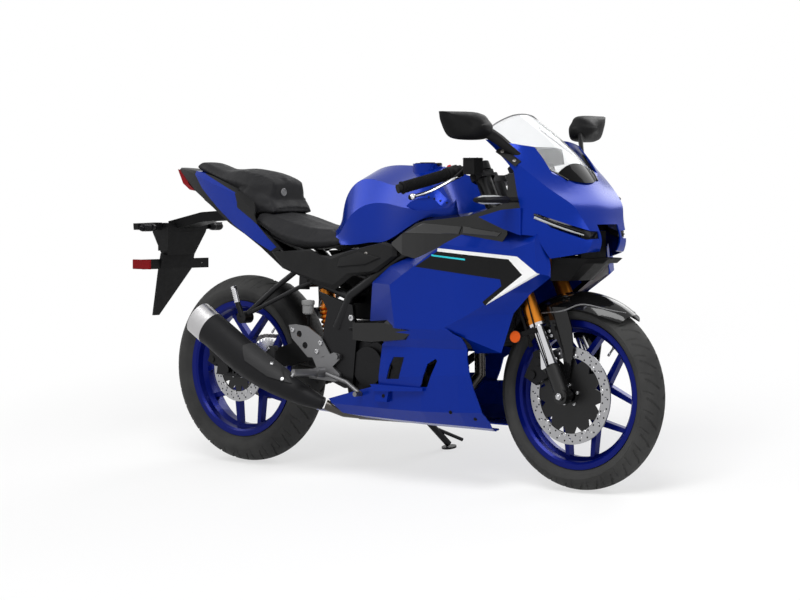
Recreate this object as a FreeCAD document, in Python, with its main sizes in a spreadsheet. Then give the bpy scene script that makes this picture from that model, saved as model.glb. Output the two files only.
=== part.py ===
import FreeCAD, Part
import math
import os
import Sketcher
from FreeCAD import Placement, Rotation, Vector

# Middleweight sport bike in millimetres. Every piece is drawn upright, with x forward from the rear
# axle, y to the rider's left and z up from the ground. One shared placement then leans the whole bike
# onto its side stand and moves its origin under the middle of its bounding box.

doc = FreeCAD.newDocument("SportBike")
sheet = doc.addObject("Spreadsheet::Sheet", "Sizes")

SIZES = [
    # stance
    ("lean_angle", 10.0), ("origin_x", -606.5), ("origin_y", -199.0), ("origin_z", 1.15),
    # wheels
    ("wheelbase", 1380.0), ("front_radius", 292.9), ("rear_radius", 313.9),
    ("front_width", 110.0), ("rear_width", 140.0), ("bead_radius", 216.0),
    ("front_crown", 58.0), ("rear_crown", 76.0),
    ("front_rim_width", 76.0), ("rear_rim_width", 102.0), ("rim_wall", 8.0),
    ("hub_radius", 34.0), ("hub_width", 74.0), ("axle_radius", 8.0),
    ("spoke_width", 15.0), ("spoke_depth", 24.0), ("spoke_count", 5.0),
    ("spoke_leg", 15.0), ("spoke_spread", 22.5), ("spoke_fork", 100.0),
    ("front_disc_radius", 149.0), ("rear_disc_radius", 110.0),
    ("disc_thickness", 5.0), ("disc_offset", 62.0), ("disc_hole", 3.5), ("disc_holes", 20.0),
    ("disc_carrier", 3.0), ("disc_boss", 25.0), ("front_disc_inner", 115.0), ("rear_disc_inner", 76.0),
    ("carrier_bore", 20.0), ("axle_bore", 8.05),
    ("sprocket_radius", 104.0), ("sprocket_tip", 95.5), ("sprocket_thickness", 6.0),
    ("sprocket_teeth", 41.0), ("cush_radius", 52.0), ("cush_depth", 46.0), ("chain_offset", 83.0),
    ("chain_width", 12.0), ("chain_height", 15.0), ("chain_pitch", 15.875),
    ("drive_radius", 38.0), ("drive_x", 545.0), ("drive_z", 380.0),
    # steering
    ("rake", 25.0), ("fork_offset", 37.7), ("fork_half", 100.0),
    ("fork_outer_radius", 25.0), ("fork_inner_radius", 18.5),
    ("stem_radius", 15.0), ("steer_limit", 26.0),
    # bodywork
    ("panel_wall", 4.0), ("screen_wall", 3.0),
    # swingarm and stand
    ("pivot_x", 470.0), ("pivot_z", 392.0), ("swingarm_half", 112.0),
    ("stand_pivot_x", 520.0), ("stand_pivot_y", 142.0), ("stand_pivot_z", 235.0),
    ("stand_foot_x", 600.0), ("stand_foot_y", 322.0), ("stand_rod", 11.0),
    ("stand_bolt", 6.0),
    ("frame_tube", 17.0),
]
for row, (alias, value) in enumerate(SIZES, 1):
    sheet.set("A%d" % row, alias)
    sheet.set("B%d" % row, str(value))
    sheet.setAlias("B%d" % row, alias)
doc.recompute()


def size(alias):
    return float(sheet.get(alias))


PARTS = []


def seat(obj, node):
    """Name the finished sub-part and lean it with the bike."""
    obj.Label = node
    obj.Placement = Placement(Vector(0, 0, 0), Rotation(Vector(-1, 0, 0), size("lean_angle")))
    obj.setExpression("Placement.Rotation.Angle", "Sizes.lean_angle * 1 deg")
    for axis in "xyz":
        obj.setExpression("Placement.Base." + axis, "Sizes.origin_" + axis)
    PARTS.append(obj)
    return obj


def feature(node, shape):
    obj = doc.addObject("Part::Feature", node)
    obj.Shape = shape
    return seat(obj, node)


def vec(x, y, z):
    return Vector(x, y, z)


def polygon(points):
    return Part.makePolygon(list(points) + [points[0]])


def plate(outline, y_low, y_high):
    """Side-view outline of (x, z) points, as thick as y_low to y_high."""
    wire = polygon([vec(x, y_low, z) for x, z in outline])
    return Part.Face(wire).extrude(vec(0, y_high - y_low, 0))


def rod(start, end, radius):
    line = end - start
    return Part.makeCylinder(radius, line.Length, start, line)


def tube(points, radius):
    """Round bar along the points, with a ball at each bend."""
    solid = rod(points[0], points[1], radius)
    for a, b in zip(points[1:], points[2:]):
        solid = solid.fuse(rod(a, b, radius)).fuse(Part.makeSphere(radius, a))
    return solid.removeSplitter()


def curve(points):
    spline = Part.BSplineCurve()
    spline.interpolate(points)
    return spline.toShape()


def loft(wires, ruled=False):
    return Part.makeLoft(wires, True, ruled)


def mirror(shape):
    return shape.mirror(vec(0, 0, 0), vec(0, 1, 0))


def box(x0, x1, y0, y1, z0, z1):
    return Part.makeBox(x1 - x0, y1 - y0, z1 - z0, vec(x0, y0, z0))


def one(shape):
    """The largest solid of a boolean result."""
    return max(shape.Solids, key=lambda s: s.Volume)


def clear_of(shape, others):
    """The shape with the room of its neighbours taken out."""
    for other in others:
        shape = shape.cut(other)
    return one(shape)


AXLE_F = vec(size("wheelbase"), 0, size("front_radius"))
AXLE_R = vec(0, 0, size("rear_radius"))
RAKE = math.radians(size("rake"))
FORK = vec(-math.sin(RAKE), 0, math.cos(RAKE))
FORWARD = vec(math.cos(RAKE), 0, math.sin(RAKE))
HEAD = AXLE_F - FORWARD * size("fork_offset")


def on_stem(along, ahead=0.0, side=0.0):
    """A point given along the steering axis, ahead of it and to the left of it."""
    return HEAD + FORK * along + FORWARD * ahead + vec(0, side, 0)


# Parametric bodies: a sketch is drawn about the centre of its wheel or shaft.
def new_body(node):
    return doc.addObject("PartDesign::Body", node)


def sketch(body, role, name, x_cell=None, z_cell=None):
    plane = [f for f in body.Origin.OriginFeatures if f.Role == role][0]
    drawing = body.newObject("Sketcher::SketchObject", name)
    drawing.AttachmentSupport = [(plane, "")]
    drawing.MapMode = "FlatFace"
    across = {"XZ_Plane": "x", "YZ_Plane": "z"}[role]
    if x_cell:
        drawing.setExpression("AttachmentOffset.Base." + across, "Sizes." + x_cell)
    if z_cell:
        drawing.setExpression("AttachmentOffset.Base.y", "Sizes." + z_cell)
    return drawing


def flat(x, y):
    return vec(x, y, 0)


def draw_loop(drawing, points):
    """Closed loop of lines through the points, joined end to end."""
    count = len(points)
    first = drawing.GeometryCount
    for i in range(count):
        line = Part.LineSegment(flat(*points[i]), flat(*points[(i + 1) % count]))
        drawing.addGeometry(line, False)
    for i in range(count):
        drawing.addConstraint(Sketcher.Constraint("Coincident", first + i, 2, first + (i + 1) % count, 1))
    return first


def draw_circle(drawing, x, y, cell):
    index = drawing.addGeometry(Part.Circle(flat(x, y), vec(0, 0, 1), size(cell)), False)
    if x == 0 and y == 0:
        drawing.addConstraint(Sketcher.Constraint("Coincident", index, 3, -1, 1))
    else:
        drawing.addConstraint(Sketcher.Constraint("DistanceX", -1, 1, index, 3, x))
        drawing.addConstraint(Sketcher.Constraint("DistanceY", -1, 1, index, 3, y))
    number = drawing.addConstraint(Sketcher.Constraint("Radius", index, size(cell)))
    drawing.setExpression("Constraints[%d]" % number, "Sizes." + cell)
    return index


def revolve(body, drawing, name):
    turned = body.newObject("PartDesign::Revolution", name)
    turned.Profile = drawing
    turned.ReferenceAxis = (drawing, ["H_Axis"])
    turned.Angle = 360
    drawing.Visibility = False
    return turned


def pad(body, drawing, name, cell, both=True, reverse=False):
    solid = body.newObject("PartDesign::Pad", name)
    solid.Profile = drawing
    solid.setExpression("Length", "Sizes." + cell)
    solid.Midplane = both
    solid.Reversed = reverse
    return solid


def polar(body, feature_in, drawing, name, cell):
    pattern = body.newObject("PartDesign::PolarPattern", name)
    pattern.Originals = [feature_in]
    pattern.Axis = (drawing, ["N_Axis"])
    pattern.Angle = 360
    pattern.setExpression("Occurrences", "Sizes." + cell)
    body.Tip = pattern
    return pattern


def make_tyre(node, x_cell, end):
    """A closed ring whose crown follows a broad arc in flats, as on a sport tyre."""
    body = new_body(node)
    radius = size(end + "_radius")
    half = size(end + "_width") / 2
    seat_half = size(end + "_rim_width") / 2 - 7.3
    bead = size("bead_radius")
    wall = radius - bead
    crown = size(end + "_crown")

    def crown_point(share):
        x = half * share
        return (x, radius - crown + math.sqrt(crown * crown - x * x))

    right = [(seat_half, bead), (seat_half, bead + 13), (half * 0.92, bead + wall * 0.3),
             (half, bead + wall * 0.52), crown_point(0.82), crown_point(0.52), crown_point(0.18)]
    drawing = sketch(body, "YZ_Plane", node + "_section", x_cell, end + "_radius")
    draw_loop(drawing, [(-x, z) for x, z in right] + list(reversed(right)))
    revolve(body, drawing, node + "_turned")
    return seat(body, node)


def ring_profile(end):
    """Half section of the rim hoop: bead seats, drop well and flanges."""
    half = size(end + "_rim_width") / 2
    bead = size("bead_radius")
    wall = size("rim_wall")
    outer = [(-half, bead + 12), (-half + 5, bead + 12), (-half + 7, bead - 0.5), (-half * 0.55, bead - 2),
             (-half * 0.3, bead - 18), (half * 0.3, bead - 18), (half * 0.55, bead - 2),
             (half - 7, bead - 0.5), (half - 5, bead + 12), (half, bead + 12)]
    inner = [(half, bead - 4), (half - 6, bead - wall - 3), (half * 0.5, bead - wall - 6),
             (half * 0.24, bead - 18 - wall), (-half * 0.24, bead - 18 - wall),
             (-half * 0.5, bead - wall - 6), (-half + 6, bead - wall - 3), (-half, bead - 4)]
    return outer + inner


def spoke_outline():
    """One spoke that points up: a stem from the hub and two legs that end in the hoop."""
    reach = size("bead_radius") - 20
    stem = size("spoke_width") * 0.9
    root = size("hub_radius") - 4
    split = size("spoke_fork")
    leg = size("spoke_leg") / 2
    spread = math.radians(size("spoke_spread"))
    end = (reach * math.sin(spread), reach * math.cos(spread))
    slope = math.atan2(end[1] - split, end[0])
    off = (leg * math.sin(slope), -leg * math.cos(slope))
    crotch = split + leg / math.cos(slope)
    half = [(stem, root), (stem, split - 4), (end[0] + off[0], end[1] + off[1]),
            (end[0] - off[0], end[1] - off[1])]
    return [(-x, z) for x, z in half] + [(0, crotch)] + list(reversed(half))


def make_rim(node, x_cell, end):
    """Cast wheel: hoop, hub and five spokes that each fork into two legs towards the hoop."""
    body = new_body(node)
    section = sketch(body, "YZ_Plane", node + "_section", x_cell, end + "_radius")
    draw_loop(section, ring_profile(end))
    revolve(body, section, node + "_hoop")
    hub = sketch(body, "XZ_Plane", node + "_hub_circle", x_cell, end + "_radius")
    draw_circle(hub, 0, 0, "hub_radius")
    pad(body, hub, node + "_hub", "hub_width")
    spokes = sketch(body, "XZ_Plane", node + "_spoke_outline", x_cell, end + "_radius")
    draw_loop(spokes, spoke_outline())
    pair = pad(body, spokes, node + "_spokes", "spoke_depth")
    polar(body, pair, spokes, node + "_spoke_ring", "spoke_count")
    bore = sketch(body, "XZ_Plane", node + "_bore_circle", x_cell, end + "_radius")
    draw_circle(bore, 0, 0, "axle_bore")
    hole = body.newObject("PartDesign::Pocket", node + "_bore")
    hole.Profile = bore
    hole.Type = 1
    hole.Midplane = True
    body.Tip = hole
    return seat(body, node)


def make_disc(node, x_cell, end, side):
    """Drilled brake disc on a spidered carrier."""
    body = new_body(node)
    ring = sketch(body, "XZ_Plane", node + "_ring", x_cell, end + "_radius")
    ring.setExpression("AttachmentOffset.Base.z", "Sizes.disc_offset * %d" % -side)
    draw_circle(ring, 0, 0, end + "_disc_radius")
    draw_circle(ring, 0, 0, end + "_disc_inner")
    pad(body, ring, node + "_band", "disc_thickness")
    holes = sketch(body, "XZ_Plane", node + "_hole", x_cell, end + "_radius")
    holes.setExpression("AttachmentOffset.Base.z", "Sizes.disc_offset * %d" % -side)
    draw_circle(holes, 0, size(end + "_disc_radius") - 17, "disc_hole")
    hole = body.newObject("PartDesign::Pocket", node + "_drill")
    hole.Profile = holes
    hole.Type = 1
    hole.Midplane = True
    polar(body, hole, ring, node + "_drilling", "disc_holes")
    carrier = sketch(body, "XZ_Plane", node + "_carrier_outline", x_cell, end + "_radius")
    carrier.setExpression("AttachmentOffset.Base.z", "Sizes.disc_offset * %d" % -side)
    reach = size(end + "_disc_inner") + 3
    points = []
    for i in range(12):
        angle = math.radians(30 * i)
        spread = math.radians(7)
        low = math.radians(15) + angle
        points.append((reach * math.sin(angle - spread), reach * math.cos(angle - spread)))
        points.append((reach * math.sin(angle + spread), reach * math.cos(angle + spread)))
        points.append(((reach - 22) * math.sin(low), (reach - 22) * math.cos(low)))
    draw_loop(carrier, points)
    draw_circle(carrier, 0, 0, "carrier_bore")
    pad(body, carrier, node + "_carrier", "disc_carrier")
    boss = sketch(body, "XZ_Plane", node + "_boss_outline", x_cell, end + "_radius")
    boss.setExpression("AttachmentOffset.Base.z", "Sizes.disc_offset * %d" % -side)
    draw_circle(boss, 0, 0, "hub_radius")
    draw_circle(boss, 0, 0, "carrier_bore")
    body.Tip = pad(body, boss, node + "_boss", "disc_boss", both=False, reverse=side < 0)
    return seat(body, node)


def make_sprocket(node):
    """Rear sprocket with teeth, on a cush hub that reaches the wheel's hub."""
    body = new_body(node)
    blank = sketch(body, "XZ_Plane", node + "_blank", None, "rear_radius")
    blank.setExpression("AttachmentOffset.Base.z", "-Sizes.chain_offset")
    draw_circle(blank, 0, 0, "sprocket_tip")
    draw_circle(blank, 0, 0, "carrier_bore")
    pad(body, blank, node + "_plate", "sprocket_thickness")
    gap = sketch(body, "XZ_Plane", node + "_gap", None, "rear_radius")
    gap.setExpression("AttachmentOffset.Base.z", "-Sizes.chain_offset")
    tip = size("sprocket_tip")
    draw_loop(gap, [(-5.2, tip + 2), (-3.2, tip - 7), (3.2, tip - 7), (5.2, tip + 2)])
    cut = body.newObject("PartDesign::Pocket", node + "_tooth_gap")
    cut.Profile = gap
    cut.Type = 1
    cut.Midplane = True
    polar(body, cut, blank, node + "_teeth", "sprocket_teeth")
    hub = sketch(body, "XZ_Plane", node + "_hub_outline", None, "rear_radius")
    hub.setExpression("AttachmentOffset.Base.z", "-Sizes.chain_offset")
    draw_circle(hub, 0, 0, "cush_radius")
    draw_circle(hub, 0, 0, "carrier_bore")
    body.Tip = pad(body, hub, node + "_cush_hub", "cush_depth", both=False, reverse=False)
    return seat(body, node)


make_tyre("front_tyre", "wheelbase", "front")
make_rim("front_rim", "wheelbase", "front")
make_disc("front_disc", "wheelbase", "front", -1)
make_tyre("rear_tyre", None, "rear")
make_rim("rear_rim", None, "rear")
make_disc("rear_disc", None, "rear", -1)
make_sprocket("rear_sprocket")


def fork_leg(side):
    """Gold outer tube, bright inner tube and the axle carrier of one leg."""
    half = size("fork_half") * side
    offset = size("fork_offset")
    axle = on_stem(0, offset, half)
    outer = rod(on_stem(238, offset, half), on_stem(752, offset, half), size("fork_outer_radius"))
    collar = rod(on_stem(228, offset, half), on_stem(252, offset, half), size("fork_outer_radius") + 2)
    cap = rod(on_stem(752, offset, half), on_stem(764, offset, half), 15)
    inner = rod(on_stem(60, offset, half), on_stem(300, offset, half), size("fork_inner_radius"))
    shoe = rod(on_stem(-8, offset, half), on_stem(96, offset, half), size("fork_inner_radius") + 5)
    eye = rod(axle + vec(0, -17 * side, 0), axle + vec(0, 16 * side, 0), 24)
    leg = outer.fuse([collar, cap, inner, shoe, eye])
    if side < 0:
        lug = plate([(1290, 452), (1318, 448), (1352, 372), (1330, 348), (1296, 372)], -98, -86)
        leg = leg.fuse(lug)
    return leg


def front_axle():
    reach = size("fork_half") + 14
    pin = rod(AXLE_F + vec(0, -reach, 0), AXLE_F + vec(0, reach, 0), size("axle_radius"))
    gap = size("hub_width") / 2 + 0.3
    inner = size("fork_half") - 16
    right = rod(AXLE_F + vec(0, -gap, 0), AXLE_F + vec(0, -inner, 0), 13)
    left = rod(AXLE_F + vec(0, gap, 0), AXLE_F + vec(0, inner, 0), 13)
    nut = rod(AXLE_F + vec(0, -reach, 0), AXLE_F + vec(0, -reach - 8, 0), 14)
    return pin.fuse([right, left, nut])


axle = front_axle()
leg_right = fork_leg(-1)
feature("fork_leg_right", one(leg_right.fuse(axle)))
leg_left = one(fork_leg(1).cut(axle))
feature("fork_leg_left", leg_left)


def clamp(along, thick):
    """Clamp plate across both legs and the stem, cut square to the steering axis."""
    half = size("fork_half")
    offset = size("fork_offset")
    reach = size("fork_outer_radius") + 9
    base = on_stem(along)
    outline = [(-30, -22), (-30, 22), (offset - 22, half + reach), (offset + 24, half + reach),
               (offset + 32, half - 20), (22, 34), (22, -34), (offset + 32, 20 - half),
               (offset + 24, -half - reach), (offset - 22, -half - reach)]
    wire = polygon([base + FORWARD * a + vec(0, b, 0) for a, b in outline])
    solid = Part.Face(wire).extrude(FORK * thick)
    for side in (-1, 1):
        leg = rod(on_stem(along - 5, offset, half * side), on_stem(along + thick + 5, offset, half * side),
                  size("fork_outer_radius"))
        solid = solid.cut(leg)
    return solid


def triple_clamp():
    stem = rod(on_stem(482), on_stem(744), size("stem_radius"))
    nut = rod(on_stem(744), on_stem(756), 20)
    return clamp(482, 28).fuse([clamp(722, 22), stem, nut])


feature("triple_clamp", one(triple_clamp()))


def handlebar(side):
    """Clip-on riser, bar, grip, switch pod and lever; the right one carries the fluid cup."""
    offset = size("fork_offset")
    half = size("fork_half") * side
    ring_a = on_stem(745, offset, half)
    ring = rod(ring_a, ring_a + FORK * 26, size("fork_outer_radius") + 9)
    ring = ring.cut(rod(ring_a - FORK * 2, ring_a + FORK * 40, size("fork_outer_radius")))
    root = vec(1058, 136 * side, 982)
    inner = vec(1012, 205 * side, 961)
    end = vec(946, 340 * side, 921)
    along = (end - root).normalize()
    bar = rod(root - along * 8, end, 11)
    riser = rod(ring_a + FORK * 13 + vec(0, 30 * side, 0), root, 12)
    grip = rod(inner, end, 17).fuse(rod(inner - along * 3, inner + along * 4, 21))
    pod = rod(inner - along * 40, inner - along * 6, 21)
    weight = rod(end - along * 2, end + along * 14, 14)
    perch = rod(inner - along * 52, inner - along * 42, 18)
    hinge = inner - along * 47 + FORWARD * 30
    pivot = rod(inner - along * 47, hinge, 9)
    lever_path = [hinge, vec(1062, 232 * side, 948), vec(1016, 300 * side, 908), vec(990, 348 * side, 893)]
    lever = tube(lever_path, 5.5).fuse(Part.makeSphere(9, lever_path[-1]))
    solid = ring.fuse([riser, bar, grip, pod, weight, perch, pivot, lever])
    if side < 0:
        stalk = rod(hinge, vec(1098, -186, 972), 8)
        cup = box(1078, 1122, -206, -164, 962, 1006)
        solid = solid.fuse([stalk, cup])
    return one(solid)


feature("handlebar_right", handlebar(-1))
feature("handlebar_left", handlebar(1))


def front_fender():
    """Arched mudguard over the tyre with a blade down to each fork leg."""
    tyre = size("front_radius")
    inner = tyre + 12

    def arch(angle, radius, half, drop):
        a = math.radians(angle)
        centre = AXLE_F + vec(radius * math.sin(a), 0, radius * math.cos(a))
        low = AXLE_F + vec((radius - drop) * math.sin(a), 0, (radius - drop) * math.cos(a))
        return centre, low, half

    def section(angle, radius, half, drop):
        top, low, w = arch(angle, radius, half, drop)
        middle = (top * 0.72 + low * 0.28)
        outer = Part.Arc(low + vec(0, w, 0), top, low + vec(0, -w, 0)).toShape()
        return outer, low

    def shell(grow):
        wires = []
        for angle, half, drop in ((-52, 66, 62), (-25, 70, 58), (5, 70, 50), (28, 62, 42), (38, 46, 28)):
            arc, low = section(angle, inner + 6 + grow, half + grow, drop)
            ends = [v.Point for v in arc.Vertexes]
            wires.append(Part.Wire([arc, Part.LineSegment(ends[1], ends[0]).toShape()]))
        return loft(wires)

    hood = shell(3).cut(shell(0))
    hood = one(hood.cut(rod(AXLE_F + vec(0, -200, 0), AXLE_F + vec(0, 200, 0), tyre - 50)))
    blade = [(1300, 560), (1372, 560), (1392, 500), (1398, 440), (1384, 348), (1372, 344), (1356, 430),
             (1318, 490)]
    for side in (-1, 1):
        low, high = sorted((70 * side, 74.5 * side))
        hood = hood.fuse(plate(blade, low, high))
        tab = rod(vec(1304, 70 * side, 470), vec(1304, 82 * side, 470), 9)
        hood = hood.fuse(plate([(1290, 500), (1330, 500), (1330, 462), (1296, 458)], low, high)).fuse(tab)
    for leg in (leg_right, leg_left):
        hood = hood.cut(leg)
    return one(hood)


feature("front_fender", front_fender())


def caliper(centre, disc_y, width, long, tall, tilt):
    """Two-piston caliper: a body that straddles the disc, with bolts and a bridge."""
    body = box(-long / 2, long / 2, disc_y - width, disc_y + width, -tall / 2, tall / 2)
    slot = box(-long, long, disc_y - 4.5, disc_y + 4.5, -tall, tall * 0.22)
    solid = body.cut(slot)
    for x in (-long * 0.25, long * 0.25):
        solid = solid.fuse(rod(vec(x, disc_y - width, 0), vec(x, disc_y - width - 7, 0), tall * 0.24))
    solid.rotate(vec(0, 0, 0), vec(0, 1, 0), tilt)
    solid.translate(centre)
    return solid


def front_caliper():
    y = -size("disc_offset")
    solid = caliper(vec(1262, 0, 372), y, 18, 92, 52, -62)
    outline = [(1252, 420), (1300, 440), (1330, 410), (1318, 352), (1280, 330), (1262, 340)]
    arm = plate(outline, y - 20, y - 14)
    ears = [rod(vec(1306, y - 20, 424), vec(1306, -86, 424), 9),
            rod(vec(1316, y - 20, 368), vec(1316, -86, 368), 9)]
    return one(solid.fuse([arm] + ears).cut(leg_right))


feature("front_caliper", front_caliper())

PIVOT = vec(size("pivot_x"), 0, size("pivot_z"))


def swingarm():
    """Two tapered arms on one pivot tube, braced ahead of the tyre, with the rear axle and spacers."""
    half = size("swingarm_half")
    drop = size("rear_radius")
    outline = [(size("pivot_x") + 24, size("pivot_z") + 24), (330, 424), (180, 384), (40, 346), (-52, 336),
               (-58, 296), (40, 288), (180, 318), (330, 352), (size("pivot_x") + 20, size("pivot_z") - 24)]
    right = plate(outline, -half + 4, -half + 28)
    left = plate(outline, half - 20, half + 4)
    tube_wall = rod(PIVOT + vec(0, -half - 4, 0), PIVOT + vec(0, half + 4, 0), 16)
    ends = [rod(PIVOT + vec(0, y0, 0), PIVOT + vec(0, y1, 0), 24)
            for y0, y1 in ((-half - 4, -half + 28), (half - 20, half + 4))]
    brace = box(352, 412, -half + 10, half - 10, 342, 396)
    solid = right.fuse([left, tube_wall, brace] + ends)
    axle = rod(AXLE_R + vec(0, -half - 12, 0), AXLE_R + vec(0, half + 12, 0), size("axle_radius"))
    nut = rod(AXLE_R + vec(0, half + 4, 0), AXLE_R + vec(0, half + 18, 0), 15)
    head = rod(AXLE_R + vec(0, -half - 4, 0), AXLE_R + vec(0, -half - 14, 0), 14)
    gap = size("hub_width") / 2 + 0.3
    right_collar = rod(AXLE_R + vec(0, -gap, 0), AXLE_R + vec(0, -half + 28, 0), 14)
    left_collar = rod(AXLE_R + vec(0, gap, 0), AXLE_R + vec(0, half - 20, 0), 14)
    solid = solid.fuse([axle, nut, head, right_collar, left_collar])
    for y0, y1 in ((half + 4, half + 26), (-half + 4, -half - 18)):
        spool_at = vec(46, 0, 306)
        spool = rod(spool_at + vec(0, y0, 0), spool_at + vec(0, y1, 0), 11)
        bore = rod(spool_at + vec(0, y1, 0), spool_at + vec(0, y1 - math.copysign(18, y1), 0), 4)
        solid = solid.fuse(spool).cut(bore)
    return one(solid)


arm = swingarm()
feature("swingarm", arm)


def frame_side(side):
    """Main beam, cradle tube, pivot plate and seat rail of one side."""
    r = size("frame_tube")

    def p(x, y, z):
        return vec(x, y * side, z)

    beam = tube([p(1086, 40, 846), p(1000, 104, 800), p(940, 116, 765), p(760, 118, 702), p(553, 120, 578),
                 p(500, 126, 470)], r)
    cradle = tube([p(1108, 46, 792), p(1010, 122, 690), p(930, 120, 560)], r - 3)
    link = tube([p(1010, 122, 690), p(1000, 104, 800)], r - 4)
    rail = tube([p(640, 119, 630), p(420, 104, 690), p(120, 84, 786), p(-90, 56, 850)], 11)
    strut = tube([p(545, 120, 572), p(388, 110, 620), p(270, 100, 676), p(150, 86, 776)], 13)
    low, high = sorted((100 * side, 112 * side))
    damper_lug = plate([(318, 590), (356, 590), (356, 636), (322, 650)], low, high)
    foot = [(506, 206), (556, 214)] if side > 0 else [(500, 290), (534, 278)]
    outline = [(423, 584), (462, 528), (446, 470), (440, 380), (470, 300)] + foot + [(568, 280), (585, 435),
                                                                                 (568, 546)]
    low, high = sorted((120 * side, 134 * side))
    pivot_plate = plate(outline, low, high)
    return beam.fuse([cradle, link, rail, strut, damper_lug, pivot_plate])


STAND_HINGE = vec(size("stand_pivot_x"), size("stand_pivot_y"), size("stand_pivot_z"))
LEAN = math.radians(size("lean_angle"))


def ground(x, y, lift=0.0):
    """The point of the leaned ground under (x, y) of the upright bike."""
    return vec(x, y, (y * math.sin(LEAN) - size("origin_z") + lift) / math.cos(LEAN))


STAND_FOOT = ground(size("stand_foot_x"), size("stand_foot_y"))
STOWED = vec(-0.998, 0.05, 0.04)
STAND_AXIS = (STAND_FOOT - STAND_HINGE).cross(STOWED).normalize()


def frame_left_shape():
    """The left side with the cross tubes and the slanted boss and bolt of the side stand."""
    side = frame_side(1)
    cross = [rod(vec(120, -84, 786), vec(120, 84, 786), 9), rod(vec(545, -120, 562), vec(545, 120, 562), 12),
             rod(vec(462, -126, 478), vec(462, 126, 478), 12),
             rod(vec(336, -108, 606), vec(336, 108, 606), 10)]
    boss = rod(STAND_HINGE - STAND_AXIS * 30, STAND_HINGE + STAND_AXIS * 8, 20)
    bolt = rod(STAND_HINGE, STAND_HINGE + STAND_AXIS * 34, size("stand_bolt"))
    head = rod(STAND_HINGE + STAND_AXIS * 28.5, STAND_HINGE + STAND_AXIS * 35, 12)
    return side.fuse(cross + [boss, bolt, head])


right_frame = one(frame_side(-1))
left_frame = one(frame_left_shape().cut(right_frame))
feature("frame_right", right_frame)
feature("frame_left", left_frame)


def frame_neck():
    """Head tube with gussets out to both beams."""
    play = size("stem_radius") + 0.3
    head = rod(on_stem(511), on_stem(721), 31)
    gusset = plate([(1052, 846), (1128, 850), (1150, 776), (1090, 770)], -52, 52)
    solid = head.fuse(gusset).cut(rod(on_stem(470), on_stem(760), play))
    return one(solid.cut(left_frame).cut(right_frame))


neck = frame_neck()
feature("frame_neck", neck)


def engine():
    """Crankcase with a forward-leaning pair of cylinders, head, covers and sump."""
    case = plate([(512, 292), (520, 252), (590, 222), (760, 218), (838, 250), (850, 330), (812, 398),
                  (700, 424), (620, 470), (560, 470), (512, 440)], -96, 66)
    left_cover = [(606, 300), (640, 240), (740, 226), (806, 280), (806, 360), (720, 404), (640, 392)]
    left = plate(left_cover, 66, 108)
    left = left.makeFillet(12, [e for e in left.Edges if abs(e.CenterOfMass.y - 108) < 0.1])
    bank = plate([(692, 410), (812, 392), (866, 560), (742, 600)], -92, 92)
    head = plate([(738, 592), (872, 552), (900, 640), (884, 668), (776, 702), (758, 690)], -98, 98)
    cam = plate([(772, 694), (888, 660), (896, 684), (782, 722)], -84, 84)
    fins = []
    for i in range(5):
        z = 430 + i * 30
        x = 700 + i * 9
        fins.append(plate([(x - 6, z + 4), (x + 120, z - 30), (x + 121, z - 26), (x - 5, z + 8)], -99, 99))
    sump = box(600, 780, -56, 50, 194, 222)
    drive = vec(size("drive_x"), 0, size("drive_z"))
    line = size("chain_offset")
    half = size("sprocket_thickness") / 2
    shaft = rod(drive + vec(0, 60, 0), drive + vec(0, line + 10, 0), 12)
    pinion = rod(drive + vec(0, line - half, 0), drive + vec(0, line + half, 0), size("drive_radius") - 8.2)
    mounts = [rod(vec(930, -110, 570), vec(930, 110, 570), 10), rod(vec(884, 0, 600), vec(930, 0, 570), 14)]
    solid = case.fuse([left, bank, head, cam, sump, shaft, pinion] + fins + mounts)
    return one(solid.cut(left_frame).cut(right_frame))


motor = engine()
feature("engine", motor)


def clutch_cover():
    """Round cover on the right of the crankcase, with its rim and screw bosses."""
    disc = rod(vec(628, -96, 352), vec(628, -118, 352), 84)
    dome = rod(vec(628, -118, 352), vec(628, -130, 352), 62)
    side_case = plate([(700, 300), (770, 256), (830, 300), (826, 356), (760, 392), (700, 380)], -114, -96)
    bosses = []
    for i in range(8):
        a = math.radians(45 * i)
        x = 628 + 80 * math.cos(a)
        z = 352 + 80 * math.sin(a)
        bosses.append(rod(vec(x, -96, z), vec(x, -120, z), 9))
    solid = disc.fuse([dome, side_case] + bosses)
    solid = solid.cut(right_frame).cut(motor)
    return one(solid)


feature("clutch_cover", clutch_cover())


def radiator():
    """Core between two side tanks, hung from the cradle tubes, with a lower hose stub."""
    core = box(-16, 16, -128, 128, 0, 200)
    tanks = [box(-20, 20, y0, y0 + 24, -8, 208) for y0 in (-148, 124)]
    slots = [box(14, 20, -120, 120, z, z + 5) for z in range(8, 190, 12)]
    solid = core.fuse(tanks)
    for slot in slots:
        solid = solid.cut(slot)
    solid.rotate(vec(0, 0, 0), vec(0, 1, 0), 8)
    solid.translate(vec(1000, 0, 424))
    hose = tube([vec(1000, -136, 440), vec(960, -132, 400), vec(900, -118, 390), vec(846, -104, 372)], 13)
    hangers = [rod(vec(948, 118 * s, 572), vec(1010, 132 * s, 580), 7) for s in (-1, 1)]
    solid = solid.fuse([hose] + hangers)
    return one(solid.cut(left_frame).cut(right_frame).cut(motor).cut(cover))


def oval(centre, direction, tall, wide):
    """Ellipse square to a direction, its long axis nearly upright."""
    along = Vector(direction).normalize()
    across = along.cross(vec(0, 0, 1)).normalize()
    up = across.cross(along).normalize()
    ring = Part.Ellipse(vec(0, 0, 0), max(tall, wide + 0.01), min(wide, tall - 0.01)).toShape()
    ring.Placement = Placement(centre, Rotation(up, across * -1, along, "ZXY"))
    return Part.Wire(ring)


MUFFLER = [(-30, -222, 490, 57, 47), (24, -221, 456, 57, 48), (120, -217, 397, 57, 48),
           (227, -209, 333, 54, 47), (330, -197, 283, 44, 40), (410, -178, 247, 32, 31),
           (462, -156, 226, 21, 21)]


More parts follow.
